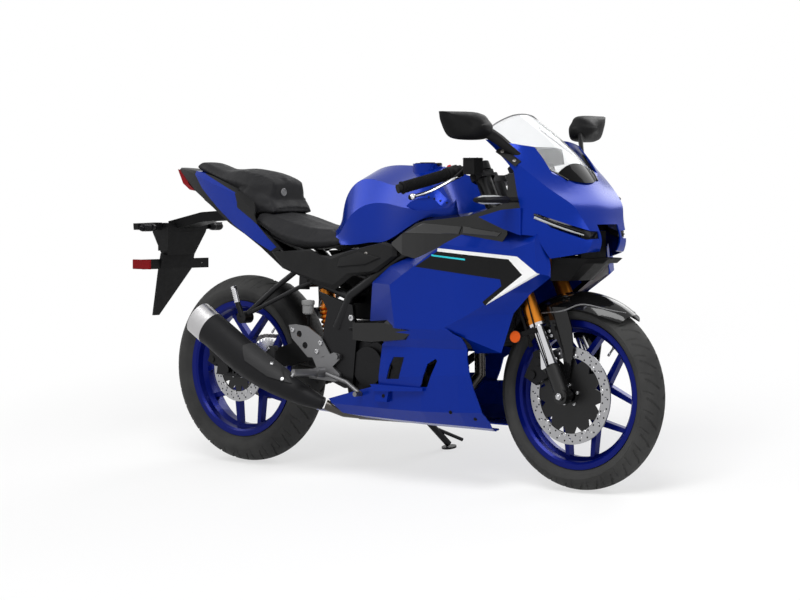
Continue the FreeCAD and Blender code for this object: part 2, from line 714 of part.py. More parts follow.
def muffler_wires(stations, grow=0.0):
    wires = []
    for i, (x, y, z, tall, wide) in enumerate(stations):
        a = stations[max(i - 1, 0)]
        b = stations[min(i + 1, len(stations) - 1)]
        direction = vec(b[0] - a[0], b[1] - a[1], b[2] - a[2])
        wires.append(oval(vec(x, y, z), direction, tall + grow, wide + grow))
    return wires


def exhaust_pipes():
    """Two headers that meet under the engine and one pipe out to the right."""
    right = tube([vec(890, -44, 628), vec(944, -44, 596), vec(952, -46, 330), vec(880, -66, 222),
                  vec(790, -92, 196)], 17)
    left = tube([vec(890, 44, 628), vec(944, 44, 596), vec(952, 40, 330), vec(890, -10, 226),
                 vec(810, -70, 200), vec(776, -92, 196)], 17)
    pot = rod(vec(790, -92, 196), vec(570, -96, 196), 19)
    last = tube([vec(572, -96, 196), vec(520, -118, 200), vec(470, -150, 222)], 17)
    solid = right.fuse([left, pot, last])
    return one(solid.cut(motor).cut(right_frame))


cover = [obj for obj in PARTS if obj.Label == "clutch_cover"][0].Shape.copy()
cover.Placement = Placement()
feature("radiator", radiator())
silencer = loft(muffler_wires(MUFFLER)[1:])
pipes = one(exhaust_pipes().cut(silencer))
feature("exhaust_pipes", pipes)


def muffler():
    """Tapered silencer with a heat guard on its upper front and a hanger to the frame."""
    raised = loft(muffler_wires(MUFFLER, 4)[1:])
    guard = raised.common(plate([(192, 408), (223, 425), (250, 423), (320, 358), (329, 339), (351, 314),
                                 (381, 292), (303, 311), (214, 360)], -300, -150))
    hanger = plate([(232, 404), (262, 404), (258, 352), (230, 352)], -170, -163)
    tab = rod(vec(246, -170, 396), vec(246, -142, 396), 9)
    return one(silencer.fuse([guard, hanger, tab]).cut(pipes))


def muffler_cap():
    """Brushed end cap, dished, with the outlet bored through it."""
    body = loft(muffler_wires(MUFFLER)[:2])
    start = vec(*MUFFLER[0][:3])
    inward = (vec(*MUFFLER[1][:3]) - start).normalize()
    dish = Part.makeCone(40, 26, 14, start - inward * 2, inward)
    outlet = rod(start, start + inward * 46, 20)
    return one(one(body).cut(dish).cut(outlet))


silencer_body = muffler()
feature("muffler", silencer_body)
feature("muffler_cap", muffler_cap())


def chain():
    """One closed run of links: wide at each pin and waisted between, round both sprockets."""
    big = size("sprocket_radius")
    small = size("drive_radius")
    front = vec(size("drive_x"), 0, size("drive_z"))
    line = front - AXLE_R
    tilt = math.atan2(line.z, line.x)
    lead = math.acos((big - small) / line.Length)
    top, low = tilt + lead, tilt - lead
    total = 2 * line.Length * math.sin(lead) + big * (2 * math.pi - 2 * lead) + small * 2 * lead
    links = int(round(total / size("chain_pitch")))
    step = total / (2 * links)

    def point(distance, lift):
        """Walk: front wrap, lower run, rear wrap, upper run."""
        wrap = small * 2 * lead
        run = line.Length * math.sin(lead)
        if distance < wrap:
            a = top - distance / small
            return front + vec(math.cos(a), 0, math.sin(a)) * (small + lift)
        distance -= wrap
        if distance < run:
            n = vec(math.cos(low), 0, math.sin(low))
            start = front + n * (small + lift)
            return start + (AXLE_R + n * (big + lift) - start) * (distance / run)
        distance -= run
        if distance < big * (2 * math.pi - 2 * lead):
            a = low - distance / big
            return AXLE_R + vec(math.cos(a), 0, math.sin(a)) * (big + lift)
        distance -= big * (2 * math.pi - 2 * lead)
        n = vec(math.cos(top), 0, math.sin(top))
        start = AXLE_R + n * (big + lift)
        return start + (front + n * (small + lift) - start) * (distance / run)

    tall = size("chain_height") / 2
    rings = []
    for sign in (1, -1):
        points = []
        for i in range(2 * links):
            lift = tall if i % 2 == 0 else tall * 0.66
            p = point(i * step, sign * lift)
            points.append(vec(p.x, size("chain_offset") - size("chain_width") / 2, p.z))
        rings.append(Part.Face(polygon(points)))
    band = rings[0].cut(rings[1]).extrude(vec(0, size("chain_width"), 0))
    drive = rod(front + vec(0, 60, 0), front + vec(0, size("chain_offset") + 12, 0), small - 8.2)
    return one(band.cut(drive))


feature("chain", chain())


def rear_caliper():
    y = -size("disc_offset")
    solid = caliper(vec(-96, 0, 357), y, 16, 66, 40, -66)
    bracket = plate([(-118, 378), (-94, 390), (-30, 350), (12, 336), (12, 296), (-20, 296), (-60, 316),
                     (-110, 340)], y - 20, y - 13)
    bracket = bracket.cut(rod(AXLE_R + vec(0, -200, 0), AXLE_R, 14.3))
    return one(solid.fuse(bracket).cut(arm))


feature("rear_caliper", rear_caliper())


def shock():
    """Damper body, spring and two eyes between the swingarm brace and the frame."""
    low = vec(382, 0, 411)
    high = vec(338, 0, 603)
    axis = (high - low).normalize()
    eyes = [rod(low + vec(0, -18, 0), low + vec(0, 18, 0), 15)]
    shaft = rod(low, high - axis * 12, 11)
    sleeve = rod(low + axis * 92, high - axis * 14, 24)
    profile = [vec(0, 0, 22), vec(30, 0, 22)]
    turns = 7
    for i in range(turns):
        z = 26 + i * 15
        profile += [vec(37, 0, z + 3), vec(37, 0, z + 9), vec(30, 0, z + 13)]
    profile += [vec(30, 0, 134), vec(0, 0, 134)]
    spring = Part.Face(polygon(profile)).revolve(vec(0, 0, 0), vec(0, 0, 1), 360)
    spring.Placement = Placement(low, Rotation(vec(0, 0, 1), axis))
    solid = shaft.fuse(eyes + [sleeve, spring])
    return one(solid.cut(left_frame).cut(arm))


feature("shock", shock())


def rear_hugger():
    """Inner mudguard that arches over the front quarter of the rear tyre."""
    tyre = size("rear_radius")
    wires = []
    for grow in (0, 3):
        ring = []
        for angle in (28, 50, 72):
            a = math.radians(angle)
            radius = tyre + 12 + grow
            top = AXLE_R + vec(math.sin(a), 0, math.cos(a)) * radius
            low = AXLE_R + vec(math.sin(a), 0, math.cos(a)) * (radius - 52)
            arc = Part.Arc(low + vec(0, 76 + grow, 0), top, low + vec(0, -76 - grow, 0)).toShape()
            ends = [v.Point for v in arc.Vertexes]
            ring.append(Part.Wire([arc, Part.LineSegment(ends[1], ends[0]).toShape()]))
        wires.append(loft(ring))
    solid = wires[1].cut(wires[0])
    solid = one(solid).fuse([box(300, 338, 74, 92, 404, 412), box(300, 338, -92, -74, 404, 412)])
    half = size("chain_width") / 2 + 6
    run = box(210, 345, size("chain_offset") - half, size("chain_offset") + half, 392, 444)
    return one(solid.cut(arm).cut(run))


feature("rear_hugger", rear_hugger())


def both_sides(points):
    """Mirror a half section given as (x, w, z) from the low edge up to the centre line."""
    left = [vec(x, w, z) for x, w, z in points]
    right = [vec(x, -w, z) for x, w, z in reversed(points) if w > 0]
    return left + right


def section(x, points):
    """Closed section across the bike at x, from (half-width, height) pairs."""
    return polygon(both_sides([(x, w, z) for w, z in points]))


def fan(top, low, points):
    """Closed section on the plane through a top point and a low point, both (x, z)."""
    ring = []
    for w, share in points:
        x = low[0] + (top[0] - low[0]) * share
        z = low[1] + (top[1] - low[1]) * share
        ring.append((x, w, z))
    return polygon(both_sides(ring))


def stem_sweep(radius, low, high):
    return rod(on_stem(low), on_stem(high), radius)


def fuel_tank():
    """Tank cover: narrow at the knees, broad shoulders ahead, pocketed for the steering."""
    wires = [
        fan((428, 788), (500, 738), [(112, 0), (96, 0.5), (66, 0.85), (0, 1)]),
        fan((468, 850), (540, 738), [(118, 0), (104, 0.5), (76, 0.86), (0, 1)]),
        fan((488, 916), (590, 742), [(122, 0), (112, 0.5), (82, 0.87), (0, 1)]),
        fan((560, 978), (640, 748), [(126, 0), (116, 0.5), (92, 0.86), (0, 1)]),
        fan((690, 993), (704, 752), [(134, 0), (126, 0.5), (108, 0.76), (0, 1)]),
        fan((822, 988), (822, 802), [(152, 0), (162, 0.3), (142, 0.68), (0, 1)]),
        fan((930, 970), (930, 829), [(154, 0), (168, 0.2), (146, 0.62), (0, 1)]),
        fan((1000, 944), (1012, 844), [(150, 0), (164, 0.2), (140, 0.6), (0, 1)]),
    ]
    skin = loft(wires)
    under = plate([(380, 700), (520, 700), (560, 726), (700, 746), (1040, 790), (1040, 866), (960, 856),
                   (900, 824), (640, 770), (520, 752)], -104, 104)
    hollow = [(800, 868), (850, 852), (911, 850), (1045, 886), (1020, 896), (862, 888)]
    dents = [plate(hollow, *sorted((158 * side, 200 * side))) for side in (-1, 1)]
    ring = rod(vec(770, 0, 960), vec(770, 0, 998), 47)
    solid = skin.cut(dents[0]).cut(dents[1]).fuse(ring).cut(under)
    solid = solid.cut(stem_sweep(158, 590, 860))
    solid = solid.cut(rod(vec(770, 0, 992), vec(770, 0, 1010), 40))
    hinge_slot = box(806, 830, -9, 9, 991, 1010)
    return one(solid.cut(hinge_slot).cut(left_frame).cut(right_frame).cut(neck))


tank = fuel_tank()
feature("fuel_tank", tank)


def airbox():
    """Air filter box and throttle bodies that fill the bay between engine and tank."""
    outline = [(566, 612), (728, 612), (752, 716), (786, 732), (900, 712), (905, 772), (700, 744), (600, 735),
               (566, 690)]
    chest = plate(outline, -92, 92)
    return clear_of(chest, [motor, tank, left_frame, right_frame])


def fuel_lid():
    """Flush cap that hinges at its front edge."""
    cap = rod(vec(770, 0, 992.3), vec(770, 0, 1000), 39)
    grip = rod(vec(770, 0, 1000), vec(770, 0, 1002), 24)
    arm_plate = box(800, 822, -7, 7, 993, 1000)
    barrel = rod(vec(818, -8, 996.5), vec(818, 8, 996.5), 4)
    return one(cap.fuse([grip, arm_plate, barrel]))


feature("fuel_lid", fuel_lid())
feature("airbox", airbox())


def rider_seat():
    """Seat pad that dips ahead of the step and wraps the tank with its nose."""
    wires = [
        section(122, [(108, 806), (112, 818), (96, 838), (0, 846)]),
        section(190, [(122, 776), (130, 796), (98, 826), (0, 834)]),
        section(265, [(126, 744), (138, 768), (98, 806), (0, 814)]),
        section(350, [(126, 726), (136, 750), (88, 788), (0, 794)]),
        section(430, [(118, 728), (124, 748), (78, 782), (0, 787)]),
        section(510, [(104, 742), (108, 756), (80, 778), (0, 782)]),
        section(560, [(94, 752), (96, 758), (78, 768), (0, 770)]),
    ]
    hollow = plate([(420, 700), (620, 700), (620, 900), (470, 900), (442, 800)], -74, 74)
    return one(loft(wires).cut(hollow).cut(tank))


def passenger_seat():
    """Flat cover behind, a padded hump with an upright front and the base under it."""
    wires = [
        section(-215, [(34, 986), (42, 992), (26, 1000), (0, 1001)]),
        section(-140, [(58, 966), (66, 976), (48, 992), (0, 996)]),
        section(-40, [(80, 936), (88, 950), (66, 972), (0, 980)]),
        section(20, [(88, 916), (98, 940), (78, 974), (0, 982)]),
        section(90, [(88, 898), (100, 922), (84, 962), (0, 974)]),
        section(150, [(82, 882), (92, 902), (78, 944), (0, 957)]),
        section(170, [(78, 878), (88, 896), (74, 936), (0, 948)]),
    ]
    base = plate([(12, 905), (90, 836), (196, 838), (166, 886), (60, 925)], -98, 98)
    return one(loft(wires).fuse(base))


seat_solid = one(rider_seat().cut(left_frame).cut(right_frame))
pillion = clear_of(passenger_seat(), [seat_solid])
feature("rider_seat", seat_solid)
feature("passenger_seat", pillion)


def tail_stations(wall, reach):
    """Tail sections: deck edge, crease and low edge of each side."""
    rows = [(-312, 14, 990, 22, 984, 20, 968), (-203, 52, 978, 66, 968, 58, 910),
            (-100, 70, 958, 90, 938, 82, 856), (0, 86, 930, 108, 912, 100, 800),
            (90, 92, 894, 122, 872, 118, 756), (160, 96, 842, 132, 806, 128, 718),
            (262, 100, 742, 134, 738, 132, 690)]
    wires = []
    for x, w0, z0, w1, z1, w2, z2 in rows:
        points = [(w2 - wall, z2 - reach), (w1 - wall, z1 - wall * 0.5), (w0 - wall, z0 - wall),
                  (0, z0 - wall)]
        wires.append(section(x, points))
    return wires


def tail_fairing():
    """Tail shell under the seats: a deck and two creased side panels, open below."""
    wall = size("panel_wall")
    outer = loft(tail_stations(0, 0))
    inner = loft(tail_stations(wall, 30))
    keep = plate([(-320, 1010), (-312, 984), (-196, 905), (-112, 852), (10, 796), (120, 752), (226, 708),
                  (262, 722), (150, 800), (128, 850), (90, 906), (60, 1010)], -160, 160)
    solid = outer.cut(inner).common(keep)
    inside = box(-312, -250, -60, 60, 900, 990).common(loft(tail_stations(wall - 0.01, 0)))
    solid = solid.fuse(inside.common(keep))
    solid = solid.cut(seat_solid).cut(pillion).cut(left_frame).cut(right_frame)
    return one(solid)


tail = tail_fairing()
feature("tail_fairing", tail)


def faceted(outline, y_base, y_face, inset):
    """Moulded panel: a side-view outline that rises to a smaller face of the same shape."""
    cx = sum(x for x, z in outline) / len(outline)
    cz = sum(z for x, z in outline) / len(outline)
    face = []
    for x, z in outline:
        reach = math.hypot(x - cx, z - cz)
        share = (reach - inset) / reach
        face.append(vec(cx + (x - cx) * share, y_face, cz + (z - cz) * share))
    low = polygon([vec(x, y_base, z) for x, z in outline])
    return loft([low, polygon(face)], True)


def side_cover():
    """Textured cover under the seat nose, over the frame beam; drawn for the right side."""
    outline = [(226, 711), (349, 719), (393, 723), (436, 704), (479, 702), (573, 723), (711, 750), (762, 738),
               (762, 706), (678, 654), (573, 639), (500, 593), (427, 610), (349, 635), (274, 659)]
    low = plate(outline, -142, -137)
    face = faceted(outline, -142, -150, 16)
    post = rod(vec(640, -137, 672), vec(640, -116, 640), 7)
    stay = rod(vec(420, -137, 690), vec(420, -108, 690), 7)
    return one(low.fuse([face, post, stay]))


cover_right = side_cover()
blockers = [left_frame, right_frame, tank, seat_solid, tail]


side_right = clear_of(cover_right, blockers)
side_left = clear_of(mirror(cover_right), blockers)
feature("side_cover_right", side_right)
feature("side_cover_left", side_left)

# Half-width and height of the side fairing's outer face, belly to shoulder, at stations along the bike.
HULL = [
    (400, [(118, 200), (140, 208), (150, 232), (156, 330), (160, 425), (172, 452), (184, 484), (184, 740)]),
    (600, [(112, 186), (146, 196), (168, 228), (178, 330), (178, 425), (190, 452), (202, 484), (200, 740)]),
    (760, [(110, 180), (150, 191), (180, 226), (192, 330), (188, 425), (200, 452), (210, 484), (206, 745)]),
    (900, [(110, 176), (154, 188), (188, 226), (198, 335), (190, 425), (203, 452), (213, 484), (208, 750)]),
    (1050, [(110, 174), (152, 186), (188, 230), (198, 345), (190, 425), (203, 454), (214, 486), (211, 760)]),
    (1180, [(106, 170), (142, 182), (178, 236), (192, 355), (188, 428), (200, 458), (212, 500), (208, 760)]),
    (1370, [(96, 166), (120, 178), (154, 240), (174, 370), (176, 440), (188, 480), (202, 560), (196, 776)]),
]
HULL_ROOT = 60
ROOF = 840

# Side panel: each corner at the foot of its bevel and on its face, which lies further out.
PANEL = [((757, 488), (802, 484)), ((749, 619), (786, 618)), ((806, 658), (835, 650)),
         ((1042, 771), (1010, 752)), ((1247, 754), (1260, 728)), ((1345, 774), (1345, 745)),
         ((1359, 664), (1352, 668)), ((1255, 604), (1236, 604)), ((1144, 534), (1105, 531)),
         ((1070, 462), (1019, 482)), ((867, 454), (880, 477))]
PANEL_FOOT, PANEL_FACE = 190, 208

BELLY = [(739, 428), (800, 470), (867, 478), (880, 490), (1019, 490), (1040, 475), (1070, 462), (1081, 440),
         (1083, 398), (1107, 304), (1139, 215), (1162, 165), (600, 165), (404, 200), (440, 232), (560, 262),
         (722, 300)]


def hull(wall):
    """Everything from the bike's middle out to the fairing's face, less a wall."""
    wires = []
    for x, points in HULL:
        foot = points[0][1] + wall
        face = [vec(x, w - wall, max(z, foot)) for w, z in points]
        wires.append(polygon([vec(x, HULL_ROOT, foot)] + face +
                             [vec(x, points[-1][0] - wall - 2, ROOF), vec(x, HULL_ROOT, ROOF)]))
    return loft(wires, True)


def inset(outline, distance):
    """The outline drawn in towards its middle."""
    cx = sum(x for x, z in outline) / len(outline)
    cz = sum(z for x, z in outline) / len(outline)
    shares = [1 - distance / math.hypot(x - cx, z - cz) for x, z in outline]
    return [(cx + (x - cx) * share, cz + (z - cz) * share) for (x, z), share in zip(outline, shares)]


def panel_block(wall):
    """Bevelled block that trims the side panel, wider towards the middle of the bike."""
    rings = []
    for y in (150, 226):
        share = (y - PANEL_FOOT) / (PANEL_FACE - PANEL_FOOT)
        outline = [(bx + (fx - bx) * share, bz + (fz - bz) * share) for (bx, bz), (fx, fz) in PANEL]
        rings.append(polygon([vec(x, y, z) for x, z in inset(outline, wall)]))
    return loft(rings, True)


def tyre_sweep():
    """Room that the steered front tyre needs, as the tyre at steps of its swing."""
    gap = 6
    half = vec(0, size("front_width") / 2 + gap, 0)
    tyre = rod(AXLE_F - half, AXLE_F + half, size("front_radius") + gap)
    turned = []
    for step in (-1, -0.66, -0.33, 0, 0.33, 0.66, 1):
        copy = tyre.copy()
        copy.rotate(HEAD, FORK, size("steer_limit") * step)
        turned.append(copy)
    return turned


SWEEP = tyre_sweep()


def fairing():
    """Side fairing, drawn for the left: bevelled side panel, ledge, belly with its vents, shelf and tab."""
    wall = size("panel_wall")
    belly = plate(BELLY, HULL_ROOT - 5, 260)
    outside = hull(0).common(panel_block(0).fuse(belly))
    inside = hull(wall).common(panel_block(wall).fuse(belly))
    skin = outside.cut(inside)
    vent = plate([(787, 392), (832, 393), (824, 365), (812, 324), (759, 321), (771, 363)], 120, 260)
    gill = plate([(960, 393), (967, 387), (928, 304), (900, 303), (928, 376)], 120, 260)
    shelf = plate([(703, 303), (916, 301), (916, 291), (716, 281)], 181, 204)
    tab = plate([(716, 281), (773, 284), (765, 249), (716, 249)], 176, 197)
    skin = skin.cut(vent).cut(gill).fuse([shelf, tab])
    for tyre in SWEEP:
        skin = skin.cut(tyre)
    return one(skin)


FAIRING_LEFT = fairing()
INSIDE_HULL = hull(0.5)


def fairing_right_shape():
    pipe = tube([vec(600, -96, 196), vec(520, -118, 200), vec(470, -150, 222), vec(400, -180, 252)], 30)
    brackets = [rod(vec(930, -116, 570), vec(930, -230, 570), 8),
                rod(vec(640, -90, 240), vec(640, -230, 240), 7)]
    inner = mirror(INSIDE_HULL)
    stays = [bracket.common(inner) for bracket in brackets]
    skin = mirror(FAIRING_LEFT).cut(pipe).fuse(stays)
    return clear_of(skin, [motor, right_frame, cover_right, pipes, silencer_body, tank])


fairing_right = fairing_right_shape()
feature("fairing_right", fairing_right)


def fairing_left_shape():
    brackets = [rod(vec(930, 116, 570), vec(930, 230, 570), 8), rod(vec(700, 60, 250), vec(700, 230, 250), 7)]
    stays = [bracket.common(INSIDE_HULL) for bracket in brackets]
    stand_bay = box(380, 652, HULL_ROOT - 5, 260, 150, 330)
    return clear_of(FAIRING_LEFT.cut(stand_bay).fuse(stays), [motor, left_frame, side_left, tank])


fairing_left = fairing_left_shape()
feature("fairing_left", fairing_left)


def trim():
    """Black spear under the side panel, with the stays that hold it; drawn for the left."""
    outline = [(624, 496), (765, 507), (867, 479), (881, 470), (851, 447), (695, 432), (624, 439)]
    spear = faceted([(x, z) for x, z in outline], 194, 207, 9).fuse(plate(outline, 188, 194))
    stays = [rod(vec(700, 110, 468), vec(700, 192, 468), 7), rod(vec(660, 190, 470), vec(560, 132, 470), 6)]
    return spear.fuse(stays)


spear = trim()
trim_left = clear_of(spear, [fairing_left, motor, left_frame])
trim_right = clear_of(mirror(spear), [fairing_right, motor, right_frame, cover])
feature("trim_left", trim_left)
feature("trim_right", trim_right)

NOSE = [
    (1085, [(1140, 204), (1150, 203), (1160, 202), (1262, 120), (1296, 0)]),
    (1022, [(1196, 199), (1206, 198), (1219, 195), (1310, 110), (1336, 0)]),
    (972, [(1230, 194), (1280, 190), (1306, 185), (1352, 100), (1368, 0)]),
    (912, [(1236, 200), (1330, 186), (1384, 160), (1402, 80), (1411, 0)]),
    (861, [(1240, 206), (1352, 180), (1442, 122), (1450, 60), (1453, 0)]),
    (810, [(1240, 212), (1362, 176), (1464, 98), (1471, 50), (1474, 0)]),
    (772, [(1240, 214), (1366, 172), (1478, 88), (1485, 45), (1488, 0)]),
    (742, [(1240, 212), (1362, 170), (1472, 92), (1480, 46), (1484, 0)]),
    (700, [(1240, 206), (1342, 168), (1438, 105), (1450, 50), (1455, 0)]),
]


def nose_wires(wall, back):
    wires = []
    for z, points in NOSE:
        ring = [vec(x - wall, w - wall if w > 0 else 0, z) for x, w in points]
        ring[0] = vec(points[0][0] - back, points[0][1] - wall, z)
        rear, middle, crease, front, tip = ring
        flank = curve([rear, middle, crease])
        bow = curve([crease, front, tip, vec(front.x, -front.y, z), vec(crease.x, -crease.y, z)])
        other = curve([vec(p.x, -p.y, z) for p in (crease, middle, rear)])
        close = Part.LineSegment(vec(rear.x, -rear.y, z), rear).toShape()
        wires.append(Part.Wire([flank, bow, other, close]))
    return wires


SLIT = [(1340, 846), (1490, 786), (1490, 770), (1464, 766), (1380, 803)]


def upper_cowl():
    """Nose cowl: side panels with the lamp slits, the air mouth, ears for the mirrors, open behind."""
    wall = size("panel_wall")
    outer = loft(nose_wires(0, 0))
    inner = loft(nose_wires(wall, 30))
    side_view = [(1160, 1068), (1182, 1066), (1500, 1000), (1510, 740), (1440, 722), (1373, 709),
                 (1341, 777), (1281, 782), (1270, 800), (1292, 861), (1262, 972), (1215, 1020)]
    keep = plate(side_view, -260, 260)
    skin = outer.cut(inner).common(keep)
    screen_edge = [(1090, 1200), (1160, 1090), (1240, 1040), (1330, 980), (1380, 944), (1420, 944),
                   (1500, 1200)]
    skin = skin.cut(plate(screen_edge, -118, 118))
    for side in (-1, 1):
        low, high = sorted((58 * side, 260 * side))
        skin = skin.cut(plate(SLIT, low, high))
    mouth_back = polygon([vec(1380, w, z) for w, z in ((-50, 810), (50, 810), (40, 722), (-40, 722))])
    mouth_front = polygon([vec(1520, w, z) for w, z in ((-54, 812), (54, 812), (44, 700), (-44, 700))])
    mouth = loft([mouth_back, mouth_front], True)
    skin = skin.cut(mouth)
    wing = [(1140, 833), (1228, 855), (1300, 861), (1300, 779), (1235, 797)]
    for side in (-1, 1):
        low, high = sorted((202 * side, 208 * side))
        skin = skin.fuse(plate(wing, low, high))
    return one(skin)


nose = clear_of(upper_cowl(), [fairing_left, fairing_right])
feature("upper_cowl", nose)
nose_inside = loft(nose_wires(size("panel_wall") + 0.3, 0))

# Station, half-width, low edge and high edge of the black panel inside the side fairing.
LINER = [(745, 148, 742, 755), (800, 164, 712, 783), (862, 172, 700, 815), (900, 176, 700, 825),
         (982, 181, 700, 832), (1080, 184, 700, 842), (1150, 187, 712, 860), (1196, 188, 735, 872),
         (1236, 190, 780, 884)]


def inner_panel():
    """Black panel between tank and side fairing, with its riser behind the cowl and a cheek by the fork."""
    wires = []
    for x, w, low, high in LINER:
        wires.append(polygon([vec(x, w, low), vec(x, w, high - 6), vec(x, w - 26, high + 4),
                              vec(x, w - 28, high + 1), vec(x, w - 3, high - 8), vec(x, w - 3, low)]))
    liner = loft(wires, True)
    riser = plate([(1232, 792), (1238, 965), (1285, 965), (1292, 864), (1268, 800)], 185, 190)
    cheek = plate([(1104, 522), (1296, 530), (1262, 570), (1232, 604), (1150, 640), (1104, 630)], 156, 160)
    strap_top = [vec(1104, 180, 706), vec(1104, 184, 706), vec(1150, 187, 716), vec(1150, 183, 716)]
    strap_foot = [vec(1104, 156, 628), vec(1104, 160, 628), vec(1150, 160, 638), vec(1150, 156, 638)]
    strap = loft([polygon(strap_top), polygon(strap_foot)], True)
    stay = rod(vec(960, 112, 772), vec(960, 179, 772), 6)
    return liner.fuse([riser, cheek, strap, stay])


panel_shape = inner_panel()
panel_left = clear_of(panel_shape, [tank, fairing_left, nose, left_frame, neck])
panel_right = clear_of(mirror(panel_shape), [tank, fairing_right, nose, right_frame, neck])
feature("inner_panel_left", panel_left)
feature("inner_panel_right", panel_right)


def headlight():
    """Slim lamp unit: two slanted lenses behind the slits, joined by a bridge behind the mouth."""
    lens = plate([(1334, 842), (1474, 788), (1470, 772), (1376, 806)], -260, 260)
    shell = lens.common(nose_inside)
    hollow = box(1300, 1500, -56, 56, 700, 900)
    core = loft(nose_wires(34, 0))
    shell = shell.cut(core).cut(hollow)
    bridge = box(1392, 1412, -140, 140, 792, 808).common(nose_inside)
    return one(shell.fuse(bridge))


lamp = clear_of(headlight(), [fairing_left, fairing_right])
feature("headlight", lamp)


def windscreen():
    """Clear bubble, three millimetres thick, from the nose to its upswept top."""
    rows = [((1376, 76, 946), (1398, 0, 936)), ((1314, 112, 988), (1348, 0, 1000)),
            ((1215, 128, 1047), (1262, 0, 1076)), ((1124, 130, 1106), (1152, 0, 1148))]
    wall = size("screen_wall")

    def bubble(table, depth):
        wires = []
        for edge, mid in table:
            a = vec(edge[0] - depth, edge[1] - depth, edge[2] - depth * 1.2)
            c = vec(a.x, -a.y, a.z)
            b = vec(mid[0] - depth * 0.66, 0, mid[2] - depth * 0.75)
            wires.append(Part.Wire([Part.Arc(a, b, c).toShape(), Part.LineSegment(c, a).toShape()]))
        return loft(wires)

    def beyond(last, before):
        return tuple(tuple(p + (p - q) * 0.12 for p, q in zip(m, n)) for m, n in zip(last, before))

    longer = [beyond(rows[0], rows[1])] + rows + [beyond(rows[-1], rows[-2])]
    return clear_of(bubble(rows, 0).cut(bubble(longer, wall)), [nose])


screen = windscreen()
feature("windscreen", screen)


def cowl_inner():
    """Black chin: lip under the mouth, tray back over the mudguard and the duct behind the mouth."""
    lip = loft([polygon(both_sides([(1356, 128, z), (1452 + d, 84, z), (1494 + d, 36, z)]) +
                        [vec(1356, -60, z), vec(1356, 60, z)]) for z, d in ((694, -12), (709, 8))], True)
    duct = box(1408, 1420, -64, 64, 700, 790)
    tray = loft([polygon(both_sides([(1346, 112, 695), (1436, 70, 695), (1448, 30, 695)])),
                 polygon(both_sides([(1326, 92, 640), (1376, 60, 640), (1384, 30, 640)]))], True)
    cut = stem_sweep(142, 300, 560)
    wheel = rod(AXLE_F + vec(0, -90, 0), AXLE_F + vec(0, 90, 0), size("front_radius") + 42)
    solid = lip.fuse([duct, tray]).cut(cut).cut(wheel)
    return clear_of(solid, [nose, lamp])


chin = cowl_inner()
feature("cowl_inner", chin)


def instrument():
    """Dash with the stay that carries it, the nose and the mirrors from the head tube."""
    beam = box(1106, 1300, -24, 24, 838, 856)
    cross = box(1268, 1292, -215, 215, 836, 858).common(nose_inside)
    post = plate([(1262, 850), (1290, 850), (1252, 1000), (1232, 1000)], -20, 20)
    dash = plate([(1196, 980), (1258, 992), (1250, 1040), (1214, 1046)], -70, 70)
    lens = plate([(1192, 984), (1198, 982), (1215, 1042), (1209, 1044)], -62, 62)
    down = box(1286, 1412, -20, 20, 838, 850)
    hold = box(1398, 1412, -20, 20, 800, 850)
    solid = beam.fuse([cross, post, dash, lens, down, hold])
    return clear_of(solid, [neck, nose, screen, lamp, chin, panel_left, panel_right])


dash = instrument()
feature("instrument", dash)


def mirror_unit():
    """Stalk from the cowl's ear and a six-sided head, drawn for the left side."""
    outline = [(412, 1150), (264, 1148), (222, 1124), (206, 1102), (224, 1070), (308, 1064), (372, 1074),
               (404, 1118)]

    def ring(x, share):
        cy, cz = 308, 1108
        return polygon([vec(x + (cy - y) * 0.12, cy + (y - cy) * share, cz + (z - cz) * share)
                        for y, z in outline])

    head = loft([ring(1160, 0.97), ring(1172, 1.0), ring(1192, 0.9), ring(1204, 0.6)], True)
    stalk = tube([vec(1186, 246, 1092), vec(1236, 226, 1068), vec(1250, 198, 1034), vec(1254, 166, 1000)], 11)
    foot = rod(vec(1243, 186, 1030), vec(1268, 160, 985), 15)
    return head.fuse([stalk, foot])


unit = mirror_unit()
mirror_left = clear_of(unit, [nose, screen])
mirror_right = clear_of(mirror(unit), [nose, screen])
feature("mirror_left", mirror_left)
feature("mirror_right", mirror_right)


def signal_unit():
    """Slim front indicator that stands out on a short stalk, drawn for the left side."""
    stalk = rod(vec(1288, 176, 886), vec(1262, 232, 885), 8)
    ring = [(1280, 876), (1284, 886), (1276, 896), (1246, 897), (1238, 886), (1244, 874)]
    wires = []
    for y, share in ((226, 0.7), (240, 1.0), (340, 0.86), (366, 0.45)):
        wires.append(polygon([vec(1262 + (x - 1262) * share - (y - 226) * 0.06, y, 886 + (z - 886) * share)
                              for x, z in ring]))
    return loft(wires, True).fuse(stalk)


signal = signal_unit()
feature("front_signal_left", clear_of(signal, [nose, panel_left]))
feature("front_signal_right", clear_of(mirror(signal), [nose, panel_right]))


def across(rows):
    """Solid through upright four-sided sections: x, half-width and height of the top, then of the bottom."""
    return loft([polygon([vec(x, w0, z0), vec(x, -w0, z0), vec(x, -w1, z1), vec(x, w1, z1)])
                 for x, w0, z0, w1, z1 in rows], True)


def layered(rows):
    """Solid through level four-sided sections: height, then x and half-width in front and behind."""
    return loft([polygon([vec(x0, w0, z), vec(x0, -w0, z), vec(x1, -w1, z), vec(x1, w1, z)])
                 for z, x0, w0, x1, w1 in rows], True)


